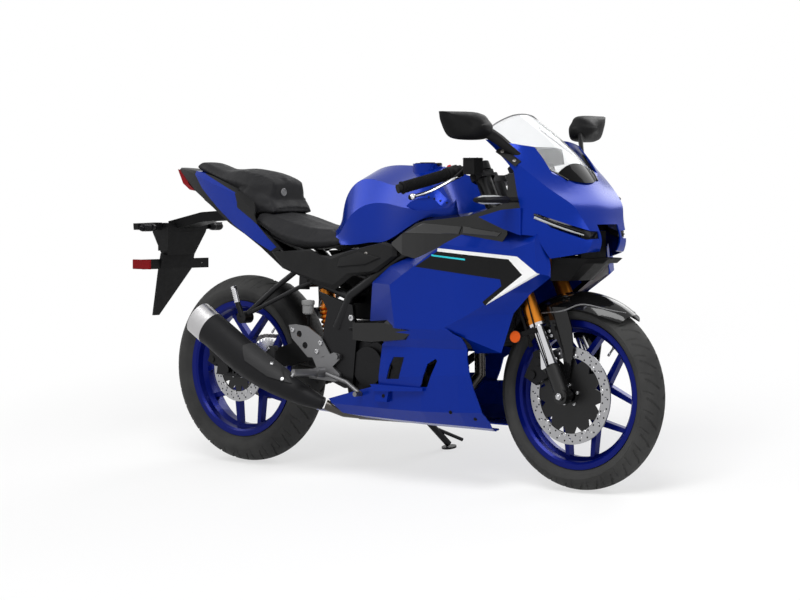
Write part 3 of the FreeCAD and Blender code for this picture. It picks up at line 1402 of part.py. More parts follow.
def plate_holder():
    """Arm from the tail, plate bar with two holes, lamp hoop, flap and the two rear indicators."""
    tail_floor = plate([(-240, 972), (-156, 879), (-26, 799), (107, 721), (201, 656), (236, 690), (203, 722),
                        (58, 800), (-24, 862), (-110, 922), (-190, 974)], -62, 62)
    arm = across([(-60, 44, 846, 36, 812), (-190, 44, 838, 36, 806), (-330, 62, 806, 56, 776)])
    chest = layered([(800, -296, 100, -376, 92), (768, -300, 92, -384, 84), (690, -330, 66, -362, 62)])
    flap = layered([(696, -340, 78, -352, 78), (644, -352, 78, -364, 78), (477, -450, 13, -459, 13)])
    bar = box(-359, -353, -160, 160, 642, 676)
    hoop = tube([vec(-350, -20, 700), vec(-396, -20, 712), vec(-396, 20, 712), vec(-350, 20, 700)], 4)
    hood = box(-414, -386, -28, 28, 703, 720)
    parts = [tail_floor, chest, flap, bar, hoop, hood]
    for side in (-1, 1):
        stalk = rod(vec(-340, 50 * side, 788), vec(-340, 110 * side, 788), 7)
        near = [(-360, 774), (-362, 802), (-322, 802), (-322, 776)]
        far = [(-352, 778), (-354, 800), (-330, 800), (-330, 780)]
        pod = loft([polygon([vec(x, y * side, z) for x, z in ring]) for y, ring in ((100, near), (206, far))],
                   True)
        parts += [stalk, pod]
    solid = arm.fuse(parts)
    for side in (-1, 1):
        solid = solid.cut(rod(vec(-400, 130 * side, 660), vec(-300, 130 * side, 660), 3.5))
    return clear_of(solid, [tail, left_frame, right_frame])


holder = plate_holder()
feature("plate_holder", holder)


def tail_light():
    """Wedge lamp set in the back edge of the tail."""
    wires = []
    for x0, z0, w in ((-318, 984, 22), (-270, 936, 46), (-232, 914, 52)):
        wires.append(polygon([vec(x0 - 4, w, z0), vec(x0 - 4, -w, z0), vec(x0 + 22, -w + 2, z0 - 4),
                              vec(x0 + 22, w - 2, z0 - 4)]))
    return clear_of(loft(wires, True), [tail])


lamp_rear = tail_light()
feature("tail_light", lamp_rear)


def footrest(side):
    """Forged bracket with heel plate and folding peg; a pedal or lever runs forward from it."""
    heel = [(301, 474), (331, 477), (384, 471), (440, 440), (481, 384), (430, 372), (384, 372), (314, 432)]
    bracket = [(404, 376), (448, 374), (498, 392), (522, 386), (522, 370), (492, 346), (522, 324), (524, 302),
               (500, 298), (392, 304), (386, 330), (424, 340)]
    solid = plate(heel, -142, -137).fuse(plate(bracket, -144, -134))
    for x, z in ((347, 446), (372, 410)):
        solid = solid.cut(rod(vec(x, -130, z), vec(x, -150, z), 11))
    solid = solid.fuse(rod(vec(512, -134, 379), vec(512, -152, 379), 9))
    solid = solid.fuse(rod(vec(512, -134, 311), vec(512, -152, 311), 9))
    peg = rod(vec(448, -140, 326), vec(420, -252, 328), 12)
    feeler = rod(vec(420, -246, 328), vec(417, -256, 316), 5)
    knuckle = rod(vec(452, -136, 326), vec(444, -168, 326), 17)
    solid = solid.fuse([peg, feeler, knuckle])
    if side < 0:
        pedal = tube([vec(470, -148, 322), vec(560, -152, 300), vec(640, -178, 268)], 7)
        solid = solid.fuse([pedal, rod(vec(640, -160, 268), vec(640, -206, 268), 8)])
    else:
        lever = tube([vec(470, -148, 322), vec(560, -146, 296), vec(626, -152, 284)], 6)
        solid = solid.fuse([lever, rod(vec(626, -146, 284), vec(626, -192, 284), 9)])
        solid = solid.mirror(vec(0, 0, 0), vec(0, 1, 0))
    return solid


foot_right = clear_of(footrest(-1), [right_frame, arm, pipes, silencer_body, fairing_right])
foot_left = clear_of(footrest(1), [left_frame, arm, fairing_left])
feature("footrest_right", foot_right)
feature("footrest_left", foot_left)


def peg_hanger():
    """Passenger peg on its V of struts, folded up; drawn for the right side."""
    knob = vec(142, -186, 496)
    struts = [tube([vec(312, -104, 656), vec(238, -132, 596), knob], 9),
              tube([vec(396, -112, 622), vec(330, -126, 596), vec(168, -180, 512)], 7)]
    joint = rod(knob + vec(0, 26, 0), knob + vec(0, -14, 0), 20)
    peg = tube([knob + vec(0, -8, 4), vec(134, -206, 540), vec(124, -214, 598)], 9)
    return joint.fuse(struts + [peg])


hanger = peg_hanger()
feature("peg_hanger_right", clear_of(hanger, [right_frame, silencer_body, side_right, foot_right]))
feature("peg_hanger_left", clear_of(mirror(hanger), [left_frame, side_left, foot_left]))


def side_stand():
    """Bent prop with a flat foot that lies on the ground when the bike leans on it."""
    normal = vec(0, -math.sin(LEAN), math.cos(LEAN))
    eye = rod(STAND_HINGE + STAND_AXIS * 8.5, STAND_HINGE + STAND_AXIS * 28, 17)
    root = STAND_HINGE + STAND_AXIS * 18
    knee = root + (STAND_FOOT - root) * 0.3 + STAND_AXIS * 8
    leg = tube([root, knee, STAND_FOOT + normal * 12], size("stand_rod"))
    sole = Part.makeCylinder(25, 6, STAND_FOOT, normal)
    toe = tube([knee * 0.45 + STAND_FOOT * 0.55 + vec(0, 0, 6), STAND_FOOT + vec(30, 34, 26)], 6)
    hole = rod(STAND_HINGE, STAND_HINGE + STAND_AXIS * 40, size("stand_bolt") + 0.3)
    boss_room = rod(STAND_HINGE - STAND_AXIS * 30, STAND_HINGE + STAND_AXIS * 8.5, 25)
    head_room = rod(STAND_HINGE + STAND_AXIS * 28, STAND_HINGE + STAND_AXIS * 44, 17)
    return one(leg.fuse([eye, sole, toe]).cut([hole, boss_room, head_room]))


stand = side_stand()
feature("side_stand", stand)

doc.recompute()
for obj in doc.Objects:
    if "Invalid" in obj.State or "Error" in obj.State:
        raise RuntimeError("%s: %s" % (obj.Name, obj.State))
os.makedirs("parts", exist_ok=True)
for obj in PARTS:
    shape = obj.Shape
    if shape.isNull() or not shape.isValid() or not shape.Solids:
        raise RuntimeError("bad shape: " + obj.Label)
    shape.exportStep("parts/%s.step" % obj.Label)
print(len(PARTS), "sub-parts")
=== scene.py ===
import math

import bmesh
import bpy
from mathutils import Matrix, Vector


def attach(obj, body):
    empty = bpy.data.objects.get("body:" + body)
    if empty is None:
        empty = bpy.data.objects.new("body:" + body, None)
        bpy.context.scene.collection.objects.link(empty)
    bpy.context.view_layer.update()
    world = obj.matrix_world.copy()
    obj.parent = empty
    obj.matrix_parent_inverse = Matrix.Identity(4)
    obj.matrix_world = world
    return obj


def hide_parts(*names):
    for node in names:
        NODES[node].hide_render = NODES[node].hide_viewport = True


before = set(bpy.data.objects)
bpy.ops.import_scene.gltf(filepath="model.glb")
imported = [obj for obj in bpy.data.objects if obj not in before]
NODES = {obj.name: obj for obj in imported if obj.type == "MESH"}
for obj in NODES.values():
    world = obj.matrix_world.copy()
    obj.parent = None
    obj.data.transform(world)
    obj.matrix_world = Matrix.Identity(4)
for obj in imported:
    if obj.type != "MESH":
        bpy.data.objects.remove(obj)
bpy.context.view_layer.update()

# The CAD leans the bike on its stand. LEAN and ORIGIN turn a point of the upright bike
# (millimetres, x forward from the rear axle, y left, z up) into the frame's metres.
LEAN = math.radians(10.0)
ORIGIN = Vector((-0.6065, -0.1990, 0.00115))
UPRIGHT = Matrix.Translation(ORIGIN) @ Matrix.Rotation(-LEAN, 4, "X")
RAKE = math.radians(25.0)
FORK = (-math.sin(RAKE), 0, math.cos(RAKE))
AXLE_FRONT = (1380, 0, 292.9)
AXLE_REAR = (0, 0, 313.9)
BEAD_RADIUS = 216.0
SIDES = (("left", 1), ("right", -1))


def at(x, y, z):
    """A point of the upright bike, in millimetres, as a point of the frame."""
    return UPRIGHT @ Vector((x / 1000, y / 1000, z / 1000))


def turned(x, y, z):
    """A direction of the upright bike as a direction of the frame."""
    return (UPRIGHT.to_3x3() @ Vector((x, y, z))).normalized()


def on_side(points, side):
    """Points of the left side (side 1), or their mirror images on the right (side -1)."""
    return [Vector((x, y * side, z)) for x, y, z in points]


# Node graphs


class Graph:
    """A material's node tree, with short calls for the nodes that the finishes share."""

    def __init__(self, name):
        self.material = bpy.data.materials.new(name)
        self.material.use_nodes = True
        self.tree = self.material.node_tree
        self.shader = self.tree.nodes["Principled BSDF"]
        self.place = self.tree.nodes.new("ShaderNodeTexCoord").outputs["Object"]

    def add(self, kind, inputs=(), **settings):
        node = self.tree.nodes.new(kind)
        for key, value in settings.items():
            setattr(node, key, value)
        for socket, value in dict(inputs).items():
            self.feed(node.inputs[socket], value)
        return node

    def feed(self, socket, value):
        if isinstance(value, bpy.types.NodeSocket):
            self.tree.links.new(value, socket)
        else:
            socket.default_value = value

    def maths(self, operation, a, b=0.0):
        return self.add("ShaderNodeMath", {0: a, 1: b}, operation=operation).outputs[0]

    def noise(self, scale, detail=3.0, rough=0.5):
        node = self.add("ShaderNodeTexNoise", {"Vector": self.place, "Scale": scale, "Detail": detail,
                                               "Roughness": rough})
        return node.outputs["Fac"]

    def grain(self, scale):
        node = self.add("ShaderNodeTexVoronoi", {"Vector": self.place, "Scale": scale})
        return node.outputs["Distance"]

    def wave(self, scale, distortion, **pattern):
        node = self.add("ShaderNodeTexWave", {"Vector": self.place, "Scale": scale, "Distortion": distortion},
                        **pattern)
        return node.outputs["Fac"]

    def spread(self, value, low, high):
        node = self.add("ShaderNodeMapRange", {"Value": value, "From Min": 0.3, "From Max": 0.7,
                                               "To Min": low, "To Max": high})
        return node.outputs["Result"]

    def mix(self, share, a, b):
        node = self.add("ShaderNodeMix", data_type="RGBA")
        self.feed(node.inputs[0], share)
        self.feed(node.inputs[6], a)
        self.feed(node.inputs[7], b)
        return node.outputs[2]

    def blend(self, share, a, b):
        """A number that goes from a to b as share goes from 0 to 1."""
        node = self.add("ShaderNodeMapRange", {"Value": share, "To Min": a, "To Max": b})
        return node.outputs["Result"]

    def bump(self, height, strength, distance=0.001):
        node = self.add("ShaderNodeBump", {"Height": height, "Strength": strength, "Distance": distance})
        self.feed(self.shader.inputs["Normal"], node.outputs["Normal"])

    def reach(self, direction):
        """How far a point lies along a direction of the upright bike, in metres of the frame."""
        node = self.add("ShaderNodeVectorMath", {0: self.place, 1: turned(*direction)},
                        operation="DOT_PRODUCT")
        return node.outputs["Value"]

    def beyond(self, normal, offset):
        """1 where a point of the upright bike, in millimetres, lies beyond a plane."""
        limit = offset / Vector(normal).length / 1000 + turned(*normal).dot(ORIGIN)
        return self.maths("GREATER_THAN", self.reach(normal), limit)

    def inside(self, corners):
        """1 inside a convex side-view outline of (x, z) points, given clockwise or not."""
        edges = list(zip(corners, corners[1:] + corners[:1]))
        area = sum(a[0] * b[1] - b[0] * a[1] for a, b in edges)
        turn = 1 if area > 0 else -1
        mask = None
        for (ax, az), (bx, bz) in edges:
            normal = (-(bz - az) * turn, 0, (bx - ax) * turn)
            test = self.beyond(normal, normal[0] * ax + normal[2] * az)
            mask = test if mask is None else self.maths("MULTIPLY", mask, test)
        return mask

    def around(self, centre, radius):
        """1 within a radius, in millimetres, of an axle that runs across the bike."""
        place = at(*centre)
        squares = []
        for way in ((1, 0, 0), (0, 0, 1)):
            offset = self.maths("SUBTRACT", self.reach(way), place.dot(turned(*way)))
            squares.append(self.maths("MULTIPLY", offset, offset))
        total = self.maths("ADD", squares[0], squares[1])
        return self.maths("LESS_THAN", total, (radius / 1000) ** 2)

    def any_of(self, masks):
        total = masks[0]
        for mask in masks[1:]:
            total = self.maths("MAXIMUM", total, mask)
        return total

    def set(self, **values):
        names = {"color": "Base Color", "rough": "Roughness", "metal": "Metallic", "coat": "Coat Weight",
                 "coat_rough": "Coat Roughness", "glass": "Transmission Weight", "ior": "IOR",
                 "specular": "Specular IOR Level"}
        for key, value in values.items():
            self.feed(self.shader.inputs[names[key]], value)
        return self


def rgb(red, green, blue):
    """An opaque colour in linear light."""
    return (red, green, blue, 1.0)


def scaled(color, share):
    """A colour's light cut to a share, or raised where the share is over 1."""
    return tuple(c * share for c in color[:3]) + (1.0,)


BLUE = rgb(0.0008, 0.020, 0.25)
DEEP_BLUE = rgb(0.001, 0.006, 0.13)
SOOT = rgb(0.004, 0.004, 0.0043)
CHARCOAL = rgb(0.010, 0.010, 0.0103)
WHITE = rgb(0.80, 0.80, 0.80)
CYAN = rgb(0.03, 0.55, 0.62)
GOLD = rgb(0.50, 0.17, 0.02)
LOW_SHINE = 0.1
LACQUER, LACQUER_ROUGH = 0.06, 0.04
FLAKE, PAINT_ROUGH = 0.35, 0.24


def clouded(g, color):
    """A paint's tone, a little deeper in broad clouds."""
    return g.mix(g.spread(g.noise(3.0), 0.0, 0.25), color, scaled(color, 0.8))


def paint(name, color, rough=PAINT_ROUGH):
    """Metallic paint under thin lacquer, with a faint orange-peel ripple."""
    g = Graph(name)
    g.set(color=clouded(g, color), metal=FLAKE, rough=rough, specular=LOW_SHINE, coat=LACQUER,
          coat_rough=LACQUER_ROUGH)
    g.bump(g.noise(900.0), 0.02)
    return g


def plastic(name, color, rough=0.5, grain=0.25, scale=700.0):
    """Moulded plastic with a fine leather-like grain and slightly uneven tone."""
    g = Graph(name)
    tone = g.mix(g.spread(g.noise(18.0), 0.0, 0.5), color, scaled(color, 1.5))
    g.set(color=tone, rough=g.spread(g.noise(60.0), rough * 0.9, rough * 1.1), specular=LOW_SHINE)
    g.bump(g.noise(scale, 5.0), grain)
    return g


def metal(name, color, rough=0.3, scale=400.0, grain=0.1):
    """Bare or coated metal with a slightly uneven polish."""
    g = Graph(name)
    g.set(color=color, metal=1.0, rough=g.spread(g.noise(scale), rough * 0.8, rough * 1.25))
    g.bump(g.noise(scale, 4.0), grain)
    return g


def fork_finish():
    """Gold outer tube, chromed inner tube below it and a black axle carrier."""
    g = Graph("fork_finish")
    gold_from, chrome_from, dark_from = -81, -215, 282
    gold_part = g.beyond(FORK, gold_from)
    bright = g.beyond(FORK, chrome_from)
    dark = g.maths("SUBTRACT", 1.0, g.maths("SUBTRACT", bright, g.beyond(FORK, dark_from)))
    tube = g.mix(gold_part, rgb(0.62, 0.62, 0.64), GOLD)
    g.set(color=g.mix(dark, tube, SOOT), metal=g.blend(dark, 1.0, 0.3),
          rough=g.blend(g.any_of([gold_part, dark]), 0.08, 0.3))
    g.bump(g.noise(600.0), 0.03)
    return g


# Outlines in the side view, as (x, z) in the upright bike's millimetres
WHITE_STRIPE = [
    [(980, 726), (982, 736), (1283, 715), (1252, 706)],
    [(1283, 715), (1359, 664), (1303, 660), (1252, 706)],
    [(1359, 664), (1303, 660), (1167, 565)],
]
BLACK_BAND = [
    [(890, 677), (980, 726), (1252, 706), (1303, 660), (1222, 645)],
    [(1303, 660), (1222, 645), (1229, 619)],
    [(1303, 660), (1167, 565), (1158, 575), (1294, 672)],
]
CYAN_LINE = [[(957, 716), (1090, 705), (1090, 700), (957, 711)]]
TAIL_BLUE = [
    [(-214, 990), (32, 905), (42, 872), (-100, 876), (-157, 920)],
    [(-100, 878), (42, 874), (42, 856), (21, 797), (-73, 856)],
    [(21, 797), (42, 856), (123, 815), (152, 798), (140, 750), (120, 752)],
    [(120, 752), (152, 798), (240, 727), (203, 708)],
]
HEAT_GUARD = [(192, 408), (223, 425), (250, 423), (320, 358), (381, 292), (303, 311), (214, 360)]


def side_paint():
    """Blue lacquer with the white arrow stripe, its black inner band and a fine cyan line."""
    g = Graph("side_paint")
    base = clouded(g, BLUE)
    band, line, stripe = [g.any_of([g.inside(shape) for shape in shapes])
                          for shapes in (BLACK_BAND, CYAN_LINE, WHITE_STRIPE)]
    color = g.mix(stripe, g.mix(line, g.mix(band, base, SOOT), CYAN), WHITE)
    g.set(color=color, metal=g.blend(g.any_of([band, line, stripe]), FLAKE, 0.0), rough=PAINT_ROUGH,
          specular=LOW_SHINE, coat=LACQUER, coat_rough=LACQUER_ROUGH)
    g.bump(g.noise(900.0), 0.02)
    return g


def tail_paint():
    """Blue lacquered flash on a grained black tail."""
    g = Graph("tail_paint")
    flash = g.any_of([g.inside(shape) for shape in TAIL_BLUE])
    g.set(color=g.mix(flash, CHARCOAL, BLUE), metal=g.blend(flash, 0.0, FLAKE),
          rough=g.blend(flash, 0.45, PAINT_ROUGH), specular=LOW_SHINE, coat=g.blend(flash, 0.0, LACQUER),
          coat_rough=LACQUER_ROUGH)
    g.bump(g.noise(700.0, 5.0), 0.08)
    return g


def disc_finish(name, centre, carrier_radius):
    """Ground steel band with fine circular marks round a black carrier."""
    g = Graph(name)
    carrier = g.around(centre, carrier_radius)
    rings = g.wave(60.0, 2.0, wave_type="RINGS", rings_direction="SPHERICAL")
    g.set(color=g.mix(carrier, rgb(0.36, 0.36, 0.37), SOOT), metal=g.blend(carrier, 1.0, 0.4),
          rough=g.blend(carrier, 0.3, 0.4))
    g.bump(rings, 0.05)
    return g


def muffler_finish():
    """Heat-proof matte black shell with a dark grey guard."""
    g = Graph("muffler_finish")
    guard = g.inside(HEAT_GUARD)
    g.set(color=g.mix(guard, rgb(0.010, 0.010, 0.011), rgb(0.03, 0.03, 0.031)),
          rough=g.spread(g.noise(50.0), 0.42, 0.55), specular=LOW_SHINE)
    g.bump(g.noise(900.0, 5.0), 0.12)
    return g


def pipe_finish():
    """Stainless header, straw and blue where it runs hot near the head."""
    g = Graph("pipe_finish")
    hot_from = 470
    heat = g.beyond((0, 0, 1), hot_from)
    tint = g.mix(g.spread(g.noise(14.0), 0.0, 1.0), rgb(0.14, 0.10, 0.06), rgb(0.06, 0.06, 0.09))
    g.set(color=g.mix(heat, rgb(0.07, 0.065, 0.06), tint), metal=1.0,
          rough=g.spread(g.noise(90.0), 0.2, 0.4))
    g.bump(g.noise(300.0), 0.05)
    return g


def core_finish():
    """Radiator core: fine fins between flat tubes."""
    g = Graph("core_finish")
    fins = g.wave(160.0, 0.0, wave_type="BANDS", bands_direction="Y")
    tubes = g.wave(32.0, 0.0, wave_type="BANDS", bands_direction="Z")
    g.set(color=g.mix(fins, rgb(0.012, 0.012, 0.012), rgb(0.06, 0.06, 0.062)), rough=0.5, metal=0.6)
    g.bump(g.maths("ADD", fins, tubes), 0.6, 0.002)
    return g


def vinyl_finish(name, color, scale):
    """Seat cover with a pebbled grain."""
    g = Graph(name)
    g.set(color=g.mix(g.spread(g.noise(9.0), 0.0, 0.6), color, scaled(color, 1.6)),
          rough=g.spread(g.noise(45.0), 0.5, 0.66), specular=LOW_SHINE)
    g.bump(g.grain(scale), 0.35, 0.0006)
    return g


def rubber_finish():
    """Tyre rubber, a little lighter and duller where it is dusty."""
    g = Graph("tyre_rubber")
    tone = g.mix(g.spread(g.noise(7.0), 0.0, 1.0), rgb(0.030, 0.030, 0.030), rgb(0.050, 0.050, 0.049))
    g.set(color=tone, rough=g.spread(g.noise(40.0), 0.6, 0.82), specular=LOW_SHINE)
    g.bump(g.noise(450.0, 5.0), 0.25)
    return g


def screen_finish():
    """Clear screen with a black printed base."""
    g = Graph("screen_clear")
    printed_from = 1352
    printed = g.beyond((1, 0, 0), printed_from)
    g.set(color=g.mix(printed, rgb(0.84, 0.85, 0.86), SOOT), rough=0.05, glass=g.blend(printed, 0.85, 0.0),
          ior=1.12)
    g.bump(g.noise(30.0), 0.002)
    return g


def dress(finish, *names):
    """Puts a finish on CAD nodes."""
    for name in names:
        mesh = NODES[name].data
        mesh.materials.clear()
        mesh.materials.append(finish.material)


blue = paint("blue_paint", BLUE)
rim_blue = paint("rim_blue", DEEP_BLUE, 0.3)
gloss_black = plastic("gloss_black", SOOT, 0.16, 0.02, 900.0)
gloss_black.set(coat=0.45, coat_rough=0.03)
piano_black = plastic("piano_black", SOOT, 0.1, 0.01, 900.0)
piano_black.set(coat=1.0, coat_rough=0.02)
matte_black = plastic("matte_black", SOOT, 0.5)
grain_black = plastic("grain_black", CHARCOAL, 0.55, 0.5, 420.0)
frame_black = metal("frame_black", rgb(0.022, 0.022, 0.023), 0.4, 300.0, 0.15)
engine_black = metal("engine_black", rgb(0.020, 0.020, 0.021), 0.48, 250.0, 0.35)
silver = metal("silver", rgb(0.62, 0.62, 0.63), 0.24, 300.0, 0.02)
cast_grey = metal("cast_grey", rgb(0.18, 0.18, 0.185), 0.42, 500.0, 0.12)
steel = metal("steel", rgb(0.45, 0.45, 0.46), 0.26)
dull_steel = metal("dull_steel", rgb(0.20, 0.19, 0.18), 0.4)
gold = metal("gold", GOLD, 0.28)
grip_rubber = plastic("grip_rubber", SOOT, 0.8, 0.5, 300.0)
lamp_black = plastic("lamp_black", rgb(0.004, 0.004, 0.005), 0.1, 0.01)
lamp_grey = plastic("lamp_grey", rgb(0.16, 0.16, 0.165), 0.18, 0.05)
red_lens = plastic("red_lens", rgb(0.15, 0.001, 0.003), 0.12, 0.02)
orange_lens = plastic("orange_lens", rgb(0.52, 0.075, 0.008), 0.15, 0.5, 260.0)
pale_lens = plastic("pale_lens", rgb(0.32, 0.33, 0.34), 0.15, 0.02)
reservoir_grey = plastic("reservoir_grey", rgb(0.20, 0.20, 0.20), 0.4, 0.1)
red_switch = plastic("red_switch", rgb(0.45, 0.01, 0.015), 0.35)
mirror_glass = metal("mirror_glass", rgb(0.75, 0.77, 0.80), 0.02, 50.0, 0.0)
vinyl = vinyl_finish("seat_vinyl", rgb(0.013, 0.013, 0.014), 520.0)
rubber = rubber_finish()
screen_clear = screen_finish()

dress(side_paint(), "fairing_left", "fairing_right", "upper_cowl")
dress(tail_paint(), "tail_fairing")
dress(blue, "fuel_tank")
dress(rim_blue, "front_rim", "rear_rim")
dress(gloss_black, "front_fender", "trim_left", "trim_right", "inner_panel_left", "inner_panel_right")
dress(matte_black, "cowl_inner", "front_signal_left", "front_signal_right", "handlebar_left",
      "handlebar_right", "instrument", "mirror_left", "mirror_right", "plate_holder", "rear_hugger",
      "airbox")
dress(grain_black, "side_cover_left", "side_cover_right")
dress(frame_black, "frame_left", "frame_right", "frame_neck", "triple_clamp", "peg_hanger_left",
      "peg_hanger_right", "swingarm", "side_stand")
dress(engine_black, "engine", "clutch_cover", "front_caliper", "rear_caliper", "fuel_lid")
dress(core_finish(), "radiator")
dress(muffler_finish(), "muffler")
dress(silver, "rear_sprocket")
dress(metal("brushed_cap", rgb(0.46, 0.455, 0.46), 0.36, 60.0, 0.0), "muffler_cap")
dress(disc_finish("front_disc_steel", AXLE_FRONT, 116), "front_disc")
dress(disc_finish("rear_disc_steel", AXLE_REAR, 77), "rear_disc")
dress(cast_grey, "footrest_left", "footrest_right")
dress(pipe_finish(), "exhaust_pipes")
dress(dull_steel, "chain")
dress(fork_finish(), "fork_leg_left", "fork_leg_right")
dress(gold, "shock")
dress(rubber, "front_tyre", "rear_tyre")
dress(vinyl, "rider_seat", "passenger_seat")
dress(lamp_black, "headlight")
dress(red_lens, "tail_light")
dress(screen_clear, "windscreen")


# Mesh tools. Shapes are drawn in the upright bike's millimetres and end in the frame's metres.


def finish_piece(name, bm, finish, body, keen=35.0):
    """Turns a drawn shape into a piece on a body, with creases where it bends by over keen degrees."""
    bm.transform(UPRIGHT @ Matrix.Scale(0.001, 4))
    bmesh.ops.recalc_face_normals(bm, faces=bm.faces)
    mesh = bpy.data.meshes.new(name)
    bm.to_mesh(mesh)
    bm.free()
    obj = bpy.data.objects.new(name, mesh)
    bpy.context.collection.objects.link(obj)
    mesh.materials.append(finish.material)
    mesh.shade_smooth()
    mesh.set_sharp_from_angle(angle=math.radians(keen))
    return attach(obj, body)


def join(parts):
    """One shape from several."""
    whole = bmesh.new()
    for part in parts:
        spare = bpy.data.meshes.new("spare")
        part.to_mesh(spare)
        part.free()
        whole.from_mesh(spare)
        bpy.data.meshes.remove(spare)
    return whole


def bridge(bm, rings, caps=True):
    """Skins a row of equal rings of vertices."""
    count = len(rings[0])
    for low, high in zip(rings, rings[1:]):
        for i in range(count):
            j = (i + 1) % count
            bm.faces.new((low[i], low[j], high[j], high[i]))
    if caps:
        bm.faces.new(list(reversed(rings[0])))
        bm.faces.new(rings[-1])
    return bm


def axes(way):
    """A direction, and two more that are square to it and to each other."""
    way = Vector(way).normalized()
    side = way.orthogonal().normalized()
    return way, side, way.cross(side)


def lathe(base, way, profile, steps=24):
    """Solid of revolution: profile gives (radius, height along the axis) from base."""
    bm = bmesh.new()
    way, side, up = axes(way)
    rings = []
    for radius, height in profile:
        ring = []
        for k in range(steps):
            a = 2 * math.pi * k / steps
            ring.append(bm.verts.new(Vector(base) + way * height
                                     + (side * math.cos(a) + up * math.sin(a)) * radius))
        rings.append(ring)
    return bridge(bm, rings)


def prism(outline, y0, y1, soft=0.0):
    """Side-view outline of (x, z) points between two depths, with its edges eased."""
    bm = bmesh.new()
    rings = [[bm.verts.new((x, y, z)) for x, z in outline] for y in (y0, y1)]
    bridge(bm, rings)
    if soft:
        bmesh.ops.bevel(bm, geom=bm.edges[:], offset=soft, segments=2, affect="EDGES",
                        clamp_overlap=True)
    return bm


def smooth_path(points, pieces=8):
    """A curve through points, as Catmull-Rom spans."""
    knots = [Vector(p) for p in points]
    knots = [knots[0] * 2 - knots[1]] + knots + [knots[-1] * 2 - knots[-2]]
    path = []
    for a, b, c, d in zip(knots, knots[1:], knots[2:], knots[3:]):
        for k in range(pieces):
            t = k / pieces
            path.append(((2 * b) + (c - a) * t + (2 * a - 5 * b + 4 * c - d) * t * t
                         + (3 * b - a - 3 * c + d) * t ** 3) / 2)
    return path + [knots[-2]]


def sweep(points, radius, sides=12, flat=1.0, level=(0, 0, 1), pieces=8, ends=None):
    """Tube along a smooth path; flat thins it along level, and ends is its radius at the far end."""
    path = smooth_path(points, pieces)
    bm = bmesh.new()
    rings = []
    for k, place in enumerate(path):
        way = (path[min(k + 1, len(path) - 1)] - path[max(k - 1, 0)]).normalized()
        side = way.cross(Vector(level)).normalized()
        up = side.cross(way)
        share = k / (len(path) - 1)
        r = radius if ends is None else radius + (ends - radius) * share
        rings.append([bm.verts.new(place + side * math.cos(a) * r + up * math.sin(a) * r * flat)
                      for a in (2 * math.pi * i / sides for i in range(sides))])
    return bridge(bm, rings)


def bolt(base, way, radius, height):
    """Button head with a socket."""
    profile = [(1.0, 0.45), (0.86, 0.85), (0.62, 1.0), (0.46, 1.0), (0.42, 0.35)]
    rings = [(radius, -1.5)] + [(radius * r, height * h) for r, h in profile] + [(0.01, height * 0.35)]
    return lathe(base, way, rings, 18)


def nut(base, way, radius, height):
    """Flanged six-sided nut with its threaded end."""
    flange = [(radius * 1.25, 0), (radius * 1.25, 1.6), (radius, 2.4)]
    body = [(radius, 1), (radius, height * 0.9), (radius * 0.9, height)]
    thread = [(radius * 0.5, 1), (radius * 0.5, height + 3), (radius * 0.4, height + 4)]
    return join([lathe(base, way, flange, 24), lathe(base, way, body, 6), lathe(base, way, thread, 18)])


# Rays that look for a node's skin start this far out from the middle plane
FAR_OUT = 450.0


def surface(node, x, z, side):
    """Where a node's skin lies at a side-view point, met from the given side: its place and normal."""
    start, way = at(x, FAR_OUT * side, z), turned(0, -side, 0)
    hit, place, normal, _ = NODES[node].ray_cast(start, way)
    if not hit:
        raise ValueError("no %s at %s, %s" % (node, x, z))
    upright = UPRIGHT.inverted()
    return upright @ place * 1000, (upright.to_3x3() @ normal).normalized()


def bolts_on(name, body, finish, node, side, spots, radius, height):
    """Bolt heads seated on a node's skin at side-view points."""
    heads = []
    for x, z in spots:
        place, normal = surface(node, x, z, side)
        heads.append(bolt(place, normal, radius, height))
    return finish_piece(name, join(heads), finish, body)


# Tyres

# The skin lies INSET inside the solid, and each of the GROOVES round a tyre spans GROOVE_STEPS facets
INSET, GROOVES, GROOVE_STEPS = 0.9, 30, 28
ARC_SHARES = [1.0 - 0.07 * k for k in range(13)] + [0.08]
# Where a groove starts and ends, as shares of the half width, then its half width and depth
MAIN_GROOVE, SHORT_GROOVE = (0.14, 0.84, 3.4, 3.6), (0.50, 0.93, 2.6, 2.8)


def tyre_section(radius, width, crown, seat):
    """Half section from the bead over the shoulder to the crown, as (depth, radius)."""
    half = width / 2 - 0.5
    wall = radius - BEAD_RADIUS
    rim_band = [(seat, BEAD_RADIUS - 0.4), (seat + 1, BEAD_RADIUS + 6), (seat + 2.5, BEAD_RADIUS + 13)]
    bulge = [(half * x, BEAD_RADIUS + wall * r) for x, r in ((0.90, 0.27), (0.965, 0.38), (1.0, 0.52))]
    edge = math.asin(min(0.985, half / crown * 0.985))
    arc = [(crown * math.sin(edge * s), radius - crown + crown * math.cos(edge * s)) for s in ARC_SHARES]
    return rim_band + bulge, [(min(x, half), r) for x, r in arc]


def groove_depth(across, along, pitch, half):
    """How deep the tread is cut at a distance from the middle and a distance round the tyre."""
    share = abs(across) / half
    lean = (share - 0.15) * pitch * 0.85
    offset = pitch * 0.5 if across < 0 else 0.0
    main = (along + offset - lean) % pitch
    short = (along + offset + pitch * 0.45 - lean * 0.6) % pitch
    for where, (low, high, half_width, depth) in ((main, MAIN_GROOVE), (short, SHORT_GROOVE)):
        if low < share < high and min(where, pitch - where) < half_width:
            return depth
    return 0.0


